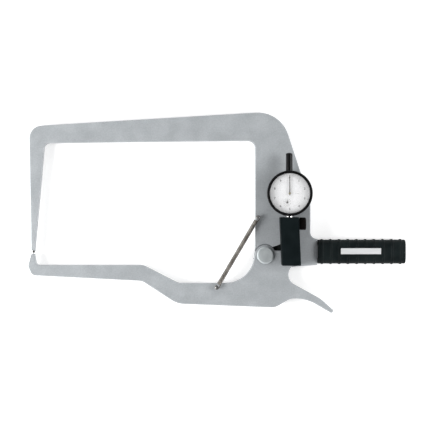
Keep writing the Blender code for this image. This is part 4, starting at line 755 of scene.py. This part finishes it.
anodised = finish("black_anodised_block", 0.5, (0.0035, 0.0062, 0.0068), (0.006, 0.0095, 0.0105),
                  (70.0,), (1500.0, 2.0), (0.42, 0.6), (0.02, 0.4), specular=0.05)
room_low, room_high, room_half, room_roof = CAM_ROOM
block_shape = carve(
    plate(block_plan(BLOCK_LOW_Y, BLOCK_HIGH_Y, BLOCK_HALF, BLOCK_CORNER), [], BLOCK_BACK,
          BLOCK_FRONT, 0.4, 0.45),
    plate(block_plan(room_low, room_high, room_half, CAM_ROOM_CORNER), [], BLOCK_BACK - BEYOND,
          room_roof, 0.0, 0.0),
    rod(STEM_BORE, room_high - BEYOND, BLOCK_HIGH_Y + BEYOND, axis="y",
        place=(SPINDLE_X, 0, SPINDLE_Z)),
    rod(SCREW_BORE, SPINDLE_X, SPINDLE_X + 2 * BLOCK_HALF, axis="x",
        place=(0, CLAMP_Y, SPINDLE_Z)),
    *(rod(SCREW_BORE, BLOCK_BACK - BEYOND, SCREW_BORE_END, place=(SPINDLE_X, y, 0))
      for y in SCREW_PLACES),
)
fit("block_body", block_shape, anodised, "frame_body", "gauge_block",
    place=AT_PIVOT)

# The socket screws that hold the block, their heads sunk in the back of the frame
HEAD_SINK = 6.3
SCREW_TIP = 22.5
SCREW_HEAD = (3.5, 3.0)  # radius, height
SCREW_RADIUS = 2.0
SOCKET = (1.7, 1.8)  # radius, depth
SMALL_CHAMFER = 0.4


def socket_screw(length):
    """Rings of a socket-head screw: its hexagonal socket, the rim with a small chamfer, the
    head and the screw. A ring's hexagon share says how far it is six-sided instead of round."""
    turns = np.linspace(0, 2 * np.pi, 72, endpoint=False)
    six_sided = math.cos(math.pi / 6) / np.cos((turns % (math.pi / 3)) - math.pi / 6)
    (head, head_height), (socket, depth) = SCREW_HEAD, SOCKET
    rows = np.array([
        (0, depth, 0), (0.96 * socket, depth, 1), (socket, depth - 0.1, 1),
        (socket, 0.1, 1), (socket + 0.15, 0, 1), (head - 0.5, 0, 0),
        (head, SMALL_CHAMFER, 0), (head, head_height, 0), (SCREW_RADIUS, head_height, 0),
        (SCREW_RADIUS, length - SMALL_CHAMFER, 0), (SCREW_RADIUS - SMALL_CHAMFER, length, 0),
        (0, length, 0),
    ])
    radius = rows[:, :1] * (1 + rows[:, 2:] * (six_sided - 1))
    return laid_round(radius, rows[:, 1:2])


for screw_number, screw_y in enumerate(SCREW_PLACES, 1):
    fit(f"block_cap_screw_{screw_number}", socket_screw(SCREW_TIP - HEAD_SINK), blackened_steel,
        "frame_body", f"block_screw_{screw_number}", sharp=25,
        place=(pivot_x + SPINDLE_X, pivot_y + screw_y, HEAD_SINK))


# Clamp knob: a black knurled disc on a short screw. Its brass tip presses on the gauge's stem,
# so the dial gauge can be set to its place in the block.
KNURL_RIDGES = 48
KNURL_DEPTH = 0.42


def knurled_knob():
    """Rings along the screw's axis; on the knurled ones the radius swings with the turn as a
    row of rounded ridges, whose depth fades out on the chamfers."""
    turns = np.linspace(0, 2 * np.pi, KNURL_RIDGES * 8, endpoint=False)
    groove = 0.5 - 0.5 * np.cos(KNURL_RIDGES * turns)
    rows = np.array([  # radius, place along the screw, share of the knurl
        (0, 7.2, 0), (1.6, 7.2, 0), (2, 7.6, 0), (2, 11.56, 0), (5.7, 11.56, 0), (6.3, 11.7, 0.3),
        (7.1, 12.0, 0.8), (7.4, 12.4, 1), (7.4, 15.3, 1), (7.4, 18.9, 1), (7.1, 19.4, 0.8),
        (6.5, 19.7, 0.3), (6.0, 19.8, 0), (4.4, 19.8, 0), (4.2, 19.5, 0), (0, 19.5, 0),
    ])
    radius = rows[:, :1] - KNURL_DEPTH * rows[:, 2:] * groove
    return laid_round(radius, rows[:, 1:2], axis="x")


knob_black = finish("black_knurled_knob", 0.32, (0.002, 0.0018, 0.0018), (0.02, 0.012, 0.011),
                    (2200.0,), (700.0,), (0.22, 0.45), span=(0.5, 0.78), specular=0.1)
fit("knurled_knob", knurled_knob(), knob_black, "clamp_knob_body", "clamp_knob",
    sharp=50, place=(pivot_x + SPINDLE_X, pivot_y + CLAMP_Y, SPINDLE_Z))


# Dial gauge housing: a turned case with a lid behind, the ground 8 mm stem that the block
# holds, and on top the glossy black cap over the spindle's upper end.
DIAL_CENTRE = (SPINDLE_X, 73.7)
AT_DIAL = (pivot_x + DIAL_CENTRE[0], pivot_y + DIAL_CENTRE[1], 0)
AT_SPINDLE = (0, 0, SPINDLE_Z)  # in the dial's frame
CASE_RADIUS = 25.2
CASE_BORE = 23.2
CASE_BACK = 20.3
CASE_FRONT = 36.2
LID_LOW = 18.4
LID_HIGH = 20.0
LID_DISH = 0.8
LID_STEP = 21.5
LID_STEP_DEPTH = 0.3
STEM_LOW = 22.0 - DIAL_CENTRE[1]
SPINDLE_BORE = 2.4
CAP_TOP = 48.5
CAP_BORE = 2.6
CAP_DEPTH = 2.6
CAP_DOME = 1.8

case_ring = ring_of(CASE_RADIUS, CASE_BORE, CASE_BACK, CASE_FRONT, (0.2, 0.8, 0.2, 0.2), 6, 128)
neck_reach = CASE_RADIUS + BEYOND
neck = rod(STEM_BORE, -neck_reach, neck_reach, axis="y", place=AT_SPINDLE)
fit("case_wall", carve(case_ring, neck), anodised, "frame_body", "gauge_case",
    place=AT_DIAL)
lid_profile = rounded([
    (0, LID_HIGH, 0),
    (CASE_RADIUS - LID_DISH, LID_HIGH, 0.2),
    (CASE_RADIUS, LID_HIGH - LID_DISH, 0.2),
    (CASE_RADIUS - LID_DISH, LID_LOW, 0.2),
    (LID_STEP, LID_LOW, 0.1),
    (LID_STEP - LID_STEP_DEPTH, LID_LOW + LID_STEP_DEPTH, 0.1),
    (0, LID_LOW + LID_STEP_DEPTH, 0),
], 4)
fit("case_lid", turned(lid_profile, 128), anodised, "frame_body", "gauge_back_cover",
    place=AT_DIAL)

stem_steel = worn_steel("ground_stem_steel", (0.5, 0.5, 0.5), (0.66, 0.66, 0.66), 0.2, 0.3,
                        stretch=(1, 12, 1))
stem_tube = ring_of(STEM_RADIUS, SPINDLE_BORE, STEM_LOW, -CASE_BORE, (0.1, 0.4, 0.2, 0.1), 5, 72,
                    axis="y", place=AT_SPINDLE)
fit("ground_stem", stem_tube, stem_steel, "frame_body", "gauge_stem", place=AT_DIAL)

lacquer = finish("gloss_black_lacquer", 0.16, (0.003, 0.003, 0.0032), (0.007, 0.0072, 0.0078),
                 (90.0,), (260.0,), (0.12, 0.24), specular=0.14)
dome = np.linspace(0, math.pi / 2, 12)
cap_profile = np.concatenate([
    np.stack([STEM_RADIUS * np.sin(dome), CAP_TOP - CAP_DOME * (1 - np.cos(dome))], 1),
    [(STEM_RADIUS, CASE_BORE), (CAP_BORE, CASE_BORE)],
    [(CAP_BORE, CAP_TOP - CAP_DEPTH), (0, CAP_TOP - CAP_DEPTH)],
])
fit("cap_over_spindle", turned(cap_profile, 72, axis="y", place=AT_SPINDLE), lacquer,
    "frame_body", "spindle_cap", place=AT_DIAL)


# Bezel: a glossy black ring that turns on the case and carries the scale with its hundred
# marks. Its inner wall slopes down to the crystal.
BEZEL_RADIUS = 26.9
BEZEL_FRONT = 43.0
BEZEL_BACK = 34.5
BEZEL_OPENING = 23.7
BEZEL_BORE = 25.5
GROOVE = 24.8
CRYSTAL_LOW = 41.2
CRYSTAL_HIGH = 42.2
DIAL_LOW = 36.5
DIAL_HIGH = 37.1
DIAL_SPLIT = 15.8
GAP = 0.3

bezel_profile = rounded([
    (BEZEL_OPENING, BEZEL_FRONT, 0.35),
    (BEZEL_RADIUS, BEZEL_FRONT, 1.0),
    (BEZEL_RADIUS, BEZEL_BACK, 0.4),
    (BEZEL_BORE, BEZEL_BACK, 0.1),
    (BEZEL_BORE, DIAL_HIGH + GAP, 0.1),
    (BEZEL_OPENING, DIAL_HIGH + GAP, 0.1),
    (BEZEL_OPENING, CRYSTAL_LOW - GAP, 0.1),
    (GROOVE, CRYSTAL_LOW - GAP, 0.1),
    (GROOVE, CRYSTAL_HIGH + GAP, 0.1),
    (BEZEL_OPENING, CRYSTAL_HIGH + GAP, 0.1),
], 7)
fit("bezel_ring", turned(bezel_profile, 160, ring=True), lacquer, "bezel_body", "bezel",
    place=AT_DIAL)

enamel = finish("white_dial_enamel", 0.45, (0.70, 0.70, 0.71), (0.76, 0.76, 0.77), (300.0,),
                (900.0,), (0.4, 0.52))
scale_disc = ring_of(CASE_RADIUS, DIAL_SPLIT, DIAL_LOW, DIAL_HIGH, (0.1, 0.1, 0.1, 0.05), 4, 160)
fit("scale_disc", scale_disc, enamel, "bezel_body", "scale_ring", place=AT_DIAL)

# The printed scale: a mark for each hundredth of a turn, longer at the fives and tens, and the
# numbers 0 to 9 clockwise
INK_HEIGHT = 0.02
TICK_OUT = 23.5
TICK_LENGTHS = (1.0, 1.4, 1.8)  # each, fives, tens
TICK_WIDTHS = (0.08, 0.11, 0.16)
NUMBER_RADIUS = 18.5
NUMBER_SIZE = 3.7
NUMBER_BOLD = 0.02  # how far its outline is set off, as a share of its size
THIN_BOLD = 0.012


def ticks(angles, inner, outer, widths, level, centre=(0, 0)):
    """A thin bar for each angle from the top, clockwise: its four corners are the inner and
    outer radius along the angle, set off half the width to either side, on two levels."""
    angles, inner, outer, widths = np.broadcast_arrays(angles, inner, outer, widths)
    out = np.stack([np.sin(angles), np.cos(angles)], -1)[:, None]
    side = np.stack([out[..., 1], -out[..., 0]], -1)
    reach = np.stack([inner, inner, outer, outer], -1)[..., None]
    half = np.stack([-widths, widths, widths, -widths], -1)[..., None] / 2
    flat = out * reach + side * half + np.array(centre)
    low = np.concatenate([flat, np.full(flat.shape[:2] + (1,), level)], -1)
    points = np.concatenate([low, low + (0, 0, INK_HEIGHT)], 1).reshape(-1, 3)
    bar = np.array([(0, 1, 2, 3), (4, 5, 6, 7), (0, 1, 5, 4), (1, 2, 6, 5), (2, 3, 7, 6),
                    (3, 0, 4, 7)])
    return points, (np.arange(len(angles))[:, None, None] * 8 + bar).reshape(-1, 4).tolist()


def lettering(text, size, middle, level, bold=THIN_BOLD):
    """A word or number as a thin closed mesh, its own middle at the given place."""
    words = bpy.data.curves.new("lettering", "FONT")
    words.body = text
    words.size = size * MM
    words.extrude = INK_HEIGHT / 2 * MM
    words.resolution_u = 3
    words.offset = size * bold * MM
    made = placed("lettering", words)
    points, faces = shape_of(made)
    bpy.data.objects.remove(made)
    low, high = points.min(0), points.max(0)
    points += (middle[0], middle[1], level + INK_HEIGHT / 2) - (low + high) / 2
    return points, faces


def numbers(chosen, size, radius, centre, bold):
    """The chosen ones of 0 to 9, upright, each at its tenth of a turn from the top."""
    turns = [number * math.pi / 5 for number in chosen]
    places = [(centre[0] + radius * math.sin(t), centre[1] + radius * math.cos(t)) for t in turns]
    return [lettering(str(number), size, place, DIAL_HIGH, bold)
            for number, place in zip(chosen, places)]


ink = finish("dial_ink", 0.5, (0.012, 0.012, 0.013), (0.03, 0.03, 0.032), (800.0,))
step = np.arange(100)
kind = (step % 5 == 0).astype(int) + (step % 10 == 0)
tick_angles = step * 2 * np.pi / 100
scale_ticks = ticks(tick_angles, TICK_OUT - np.array(TICK_LENGTHS)[kind], TICK_OUT,
                    np.array(TICK_WIDTHS)[kind], DIAL_HIGH)
scale_numbers = numbers(range(10), NUMBER_SIZE, NUMBER_RADIUS, (0, 0), NUMBER_BOLD)
fit("scale_print", joined(scale_ticks, *scale_numbers), ink, "bezel_body", place=AT_DIAL)


# Dial and hands: the white plate with the small counting dial, the long hand on the centre
# arbor with its brass hub, the short counting hand, and the mineral-glass crystal over them.
COUNTER = (-2.90, -10.61)
COUNTER_SCALE = 4.3
COUNTER_LINE = 0.08
COUNTER_TICK = (1.0, 0.2)  # length, width
COUNTER_NUMBERS = (2.5, 1.0)  # radius, size
UNIT_PLACE = (9.0, -0.4)
UNIT_SIZE = 1.5
HAND_HOLE = 0.8
FACE_PLAY = 0.06
MAIN_HAND_LOW = 38.8
COUNTER_HAND_LOW = 37.7
HAND_THICKNESS = 0.3
LONG_BLADE = (21.4, 2.4, 1.6, 0.6)  # length, tail, width, tip's share of it
SHORT_BLADE = (3.6, 1.6, 0.7, 0.35)
LONG_HUB = (1.4, 38.6, 39.5, 0.25)  # radius, low, high, crown
SHORT_HUB = (1.25, 37.65, 38.4, 0.2)

hand_holes = [circle(centre, HAND_HOLE, 24) for centre in ((0, 0), COUNTER)]
dial_rim = circle((0, 0), DIAL_SPLIT - FACE_PLAY, 128)
fit("dial_face", plate(dial_rim, hand_holes, DIAL_LOW, DIAL_HIGH, 0.05, 0.05), enamel,
    "frame_body", "dial_plate", place=AT_DIAL)
ink_top = DIAL_HIGH + INK_HEIGHT
counter_ring = ring_of(COUNTER_SCALE + COUNTER_LINE, COUNTER_SCALE, DIAL_HIGH, ink_top,
                       (0, 0, 0, 0), 1, 96, place=(*COUNTER, 0))
tick_length, tick_width = COUNTER_TICK
number_radius, number_size = COUNTER_NUMBERS
counter_ticks = ticks(np.arange(10) * 2 * np.pi / 10, COUNTER_SCALE - tick_length, COUNTER_SCALE,
                      tick_width, DIAL_HIGH, COUNTER)
counter_numbers = numbers(range(0, 10, 2), number_size, number_radius, COUNTER, THIN_BOLD)
unit_print = lettering("0.1 mm", UNIT_SIZE, UNIT_PLACE, DIAL_HIGH)
fit("dial_print", joined(counter_ring, counter_ticks, *counter_numbers, unit_print), ink,
    "frame_body", place=AT_DIAL)


def hand_blade(length, tail, width, tip_share):
    """Outline of a hand: a slim kite that narrows to its tip and ends in a rounded tail."""
    half = width / 2
    return rounded([
        (-half * tip_share, length, half * tip_share * 0.6),
        (-half, 0, 0),
        (-half * 0.9, -tail, half * 0.6),
        (half * 0.9, -tail, half * 0.6),
        (half, 0, 0),
        (half * tip_share, length, half * tip_share * 0.6),
    ], 6)


def hub_profile(radius, low, high, crown):
    """A boss with a bead round its top and a small centre dimple."""
    return rounded([
        (0, low, 0), (radius, low, 0.05), (radius, high - crown, 0.1),
        (radius * 0.8, high, 0.1), (radius * 0.35, high, 0.05),
        (0, high - crown * 0.4, 0),
    ], 4)


blued = finish("blackened_hand", 0.45, (0.035, 0.033, 0.03), (0.075, 0.07, 0.065), (500.0,),
               (1500.0,), (0.3, 0.45), metallic=0.2, specular=0.2)
brass = finish("turned_brass", 0.3, (0.2, 0.165, 0.07), (0.36, 0.3, 0.13), (350.0,), (1400.0,),
               (0.22, 0.38), metallic=1.0)
main_blade = plate(hand_blade(*LONG_BLADE), [], MAIN_HAND_LOW, MAIN_HAND_LOW + HAND_THICKNESS,
                   0.02, 0.08)
fit("long_hand", main_blade, blued, "pointer_body", "main_hand", sharp=30,
    place=AT_DIAL)
fit("long_hand_hub", turned(hub_profile(*LONG_HUB), 48), brass, "pointer_body", None,
    sharp=30, place=AT_DIAL)
short_blade = plate(hand_blade(*SHORT_BLADE), [], COUNTER_HAND_LOW,
                    COUNTER_HAND_LOW + HAND_THICKNESS, 0.02, 0.06)
short_hub = turned(hub_profile(*SHORT_HUB), 40)
fit("short_hand", joined(short_blade, short_hub), blued, "counter_body", "counter_hand",
    sharp=30, place=(AT_DIAL[0] + COUNTER[0], AT_DIAL[1] + COUNTER[1], 0))

glass, glass_tree, glass_shader = shader_of("mineral_glass", 0.03)
glass_shader.inputs["Base Color"].default_value = (0.97, 0.98, 0.98, 1)
glass_shader.inputs["Alpha"].default_value = 0.07
relief(glass_tree, glass_shader, grain(glass_tree, 60.0, 1.0), 0.01, 0.05)
crystal_profile = rounded([
    (0, CRYSTAL_HIGH, 0),
    (GROOVE - GAP, CRYSTAL_HIGH, 0.25),
    (GROOVE - GAP, CRYSTAL_LOW, 0.15),
    (0, CRYSTAL_LOW, 0),
], 5)
fit("crystal_glass", turned(crystal_profile, 128), glass, "bezel_body", "crystal",
    sharp=30, place=AT_DIAL)


# Grip: a moulded black sleeve pushed on the tang, with ten ribs across and a flat bed in front
# for a bare light-alloy plate.
GRIP_START = 62.7
GRIP_LENGTH = 105.1
GRIP_MIDDLE_Y = 4.15
GRIP_DEPTH = 22.0
GRIP_HIGH_Z = 21.2
GRIP_HALF = 14.4
END_ROUND = 1.0
GRIP_CORNER = 8.0
RIB_COUNT = 10
RIB_PITCH = 10.46
RIB_FIRST = 5.2
RIB_WIDTH = 3.4
RIB_SLOPE = 1.1
RIB_HEIGHT = 0.8
BED = (25.4, 77.4, 6.6)  # start, end, half its width
BED_DEPTH = 0.4
LABEL = (27.4, 75.4, 3.55)  # start, end, half its width
LABEL_CORNER = 0.4
LABEL_RISE = 0.7
LABEL_LOW = 20.7
LABEL_HIGH = 21.5
TANG_ROOM = (98.4, 8.3, 5.3)  # length, half its width, half its depth
TANG_ROOM_CORNER = 2.0


def swell(along):
    """How far the grip's skin stands out at each place along it: on a rib the whole height,
    easing to nothing down its flanks by a half cosine, and drawn in at both ends."""
    middles = RIB_FIRST + RIB_PITCH * np.arange(RIB_COUNT)
    away = np.abs(along[:, None] - middles).min(1)
    flank = np.clip((RIB_WIDTH / 2 - away) / RIB_SLOPE, 0, 1)
    ribs = RIB_HEIGHT * (0.5 - 0.5 * np.cos(np.pi * flank))
    end = np.minimum(along, GRIP_LENGTH - along)
    short = np.clip(1 - end / END_ROUND, 0, 1)
    return ribs - END_ROUND * (1 - np.sqrt(1 - short**2))


def grip_sleeve():
    """Sections across the grip at places along it: each is a rounded rectangle moved out along
    its own normals by the swell there. In front of the bed for the plate the ribs fade out."""
    base_y, base_z = GRIP_HALF, GRIP_HIGH_Z - GRIP_DEPTH / 2
    corners = [(y * base_y, z * base_z, GRIP_CORNER) for y, z in QUARTERS]
    section = rounded(corners, 14)
    around = unit(np.roll(section, -1, 0) - np.roll(section, 1, 0))
    outward = np.stack([around[:, 1], -around[:, 0]], 1)
    middles = RIB_FIRST + RIB_PITCH * np.arange(RIB_COUNT)[:, None]
    flanks = RIB_WIDTH / 2 - RIB_SLOPE * np.linspace(0, 1, 7)
    ends = END_ROUND * (1 - np.cos(np.linspace(0, math.pi / 2, 7)))
    places = [ends, (middles - flanks).ravel(), (middles + flanks).ravel(), GRIP_LENGTH - ends]
    along = np.unique(np.round(np.concatenate(places), 4))
    growth = swell(along)[:, None]
    on_bed = (section[:, 1] > base_z - BED_DEPTH) & (np.abs(section[:, 0]) < BED[2])
    in_bed = ((along > BED[0]) & (along < BED[1]))[:, None]
    growth = np.where(on_bed & in_bed, np.minimum(growth, 0), growth)
    flat = section + outward * growth[..., None]
    skin_points = np.insert(flat, 0, along[:, None], axis=2)
    first, last = (np.broadcast_to(end.mean(1, keepdims=True), end.shape)
                   for end in (skin_points[:1], skin_points[-1:]))
    return skin(np.concatenate([first, skin_points, last]))


def box_plan(left, right, half, corner):
    """A rounded rectangle along the grip."""
    low_side = [(left, -half, corner), (right, -half, corner)]
    return rounded(low_side + [(right, half, corner), (left, half, corner)], 6)


grip_black = finish("black_grip_plastic", 0.46, (0.004, 0.0065, 0.007), (0.008, 0.012, 0.0125),
                    (60.0,), (1100.0,), (0.4, 0.56), (0.03, 0.4), specular=0.08)
AT_GRIP = (pivot_x + GRIP_START, pivot_y + GRIP_MIDDLE_Y, GRIP_DEPTH / 2)
tang_length, tang_half, tang_depth = TANG_ROOM
label_left, label_right, label_half = LABEL
tang_room = box_plan(-BEYOND, tang_length, tang_half, TANG_ROOM_CORNER)
label_bed = box_plan(label_left - GAP, label_right + GAP, label_half + GAP, 0.5)
sleeve = carve(
    grip_sleeve(),
    plate(tang_room, [], -tang_depth, tang_depth, 0.0, 0.0),
    plate(label_bed + (0, LABEL_RISE), [], LABEL_LOW - GAP - GRIP_DEPTH / 2, GRIP_DEPTH, 0.0, 0.0),
)
fit("grip_sleeve", sleeve, grip_black, "frame_body", "grip", sharp=35,
    place=AT_GRIP)

brushed = finish("brushed_label_alloy", 0.4, (0.66, 0.67, 0.68), (0.76, 0.77, 0.78),
                 (200.0, 3.0, (0.2, 6, 1)), (500.0, 4.0, (0.1, 9, 1)), (0.34, 0.5),
                 (0.01, 0.4), metallic=0.35)
label_shape = plate(box_plan(label_left, label_right, label_half, LABEL_CORNER), [], LABEL_LOW,
                    LABEL_HIGH, 0.05, 0.15)
fit("bare_label_plate", label_shape, brushed, "frame_body", "label_plate",
    place=(AT_GRIP[0], AT_GRIP[1] + LABEL_RISE, 0))


# Closing spring: a close-wound steel spring with an eye at each end. It is hooked over a
# grooved post in the frame and one in the arm, and pulls the jaws together.
POST_UPPER = (-9.0, 45.1)
POST_LOWER = (-58.1, -38.5)
POST_RADIUS = 1.3
POST_SHANK = 1.2
POST_HEAD = 1.9
POST_TOP = 22.6
POST_GROOVE = 21.2
POST_LOW = 10.0
SPRING_Z = 20.4
WIRE = 0.5
EYE = 2.2
EYE_END = math.radians(345)
COIL_START = 4.1
CURLS = 80
CURL_STEPS = 14

post_profile = rounded([
    (0, POST_TOP - 0.15, 0),
    (0.7, POST_TOP, 0.2),
    (POST_HEAD, POST_TOP - 0.35, 0.3),
    (POST_HEAD, POST_GROOVE, 0.2),
    (POST_RADIUS, POST_GROOVE, 0.1),
    (POST_RADIUS, plate_front + 0.4, 0.1),
    (POST_SHANK, plate_front + 0.2, 0),
    (POST_SHANK, POST_LOW, 0.3),
    (0, POST_LOW, 0),
], 5)
post_steel = worn_steel("post_steel", (0.2, 0.2, 0.2), (0.42, 0.42, 0.42), 0.2, 0.34)
POSTS = (("upper", POST_UPPER, "frame_body"), ("lower", POST_LOWER, "arm_body"))
for post_name, (post_x, post_y), body in POSTS:
    fit(f"grooved_post_{post_name}", turned(post_profile, 48), post_steel, body,
        f"spring_post_{post_name}", place=(pivot_x + post_x, pivot_y + post_y, 0))


def wire_along(path, up, radius=WIRE, sides=8):
    """Round wire: at each point of the path a circle across its direction, its two axes the
    cross products with the given upward vectors; the ends close to a point."""
    ahead = unit(np.gradient(path, axis=0))
    side = unit(np.cross(ahead, up))
    raised = np.cross(side, ahead)
    turns = np.linspace(0, 2 * np.pi, sides, endpoint=False)[:, None]
    rim = np.cos(turns) * side[:, None] + np.sin(turns) * raised[:, None]
    rings = path[:, None] + radius * rim
    first, last = (np.repeat(end[:, None], sides, 1) for end in (path[:1], path[-1:]))
    return skin(np.concatenate([first, rings, last]))


spring_run = np.array(POST_LOWER) - np.array(POST_UPPER)
spring_length = float(np.hypot(*spring_run))
along_spring = np.array([*(spring_run / spring_length), 0])
beside_spring = np.array([-along_spring[1], along_spring[0], 0])
upper_eye = np.array([pivot_x + POST_UPPER[0], pivot_y + POST_UPPER[1], SPRING_Z])


def laid_in(shape):
    """From the spring's own axes, along and beside it, to the frame of the instrument."""
    points, faces = shape
    axes = np.stack([along_spring, beside_spring, (0, 0, 1)])
    return upper_eye + points @ axes, faces


def eye_path(side, middle):
    """A lead from the coil's end on its rim, and most of a circle round the post."""
    turns = np.linspace(math.pi / 2, EYE_END, 36)
    lead = np.linspace(COIL_START, 0.2, 8)
    x = side * np.concatenate([lead, EYE * np.cos(turns)])
    y = np.concatenate([np.full(len(lead), EYE), EYE * np.sin(turns)])
    return np.stack([middle + x, y, 0 * x], 1)


spring_steel = finish("oiled_spring_steel", 0.32, (0.1, 0.09, 0.08), (0.22, 0.205, 0.185),
                      (140.0, 4.0), (900.0,), (0.24, 0.42), metallic=0.85)
for eye_name, side, middle in (("upper", 1, 0.0), ("lower", -1, spring_length)):
    eye = wire_along(eye_path(side, middle), np.array([0, 0, 1.0]))
    fit(f"spring_eye_{eye_name}", laid_in(eye), spring_steel, f"spring_{eye_name}_body",
        f"spring_{eye_name}_hook")

curl = np.linspace(0, 2 * np.pi * CURLS, CURLS * CURL_STEPS + 1)
coil_run = np.linspace(COIL_START, spring_length - COIL_START, len(curl))
coil_path = np.stack([coil_run, EYE * np.cos(curl), EYE * np.sin(curl)], 1)
coil_up = np.stack([0 * curl, np.cos(curl), np.sin(curl)], 1)
coil = fit("closing_coil", laid_in(wire_along(coil_path, coil_up)), spring_steel, None,
           "spring_coil")
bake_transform(coil)


# Inside the block and the case: the cam that lifts the spindle, the brass movement and its
# pinions. They hardly show, and keep their shapes from the CAD model with real finishes.
bronze = finish("bush_bronze", 0.38, (0.33, 0.2, 0.09), (0.5, 0.33, 0.17), (250.0,), (1200.0,),
                (0.3, 0.46), metallic=1.0)
FINISHES = (
    (bronze, ("pivot_bush",)),
    (brass, ("clamp_pad", "movement_front_plate", "movement_rear_plate", "centre_cock",
             "counter_wheel", "takeup_wheel")),
    (stem_steel, ("spindle", "contact_point", "centre_arbor", "cam")),
    (blackened_steel, ("cam_screw",)),
    (spring_steel, ("hairspring",)),
)
for look, nodes in FINISHES:
    for name in nodes:
        for place in bpy.data.objects[name].material_slots:
            place.material = look
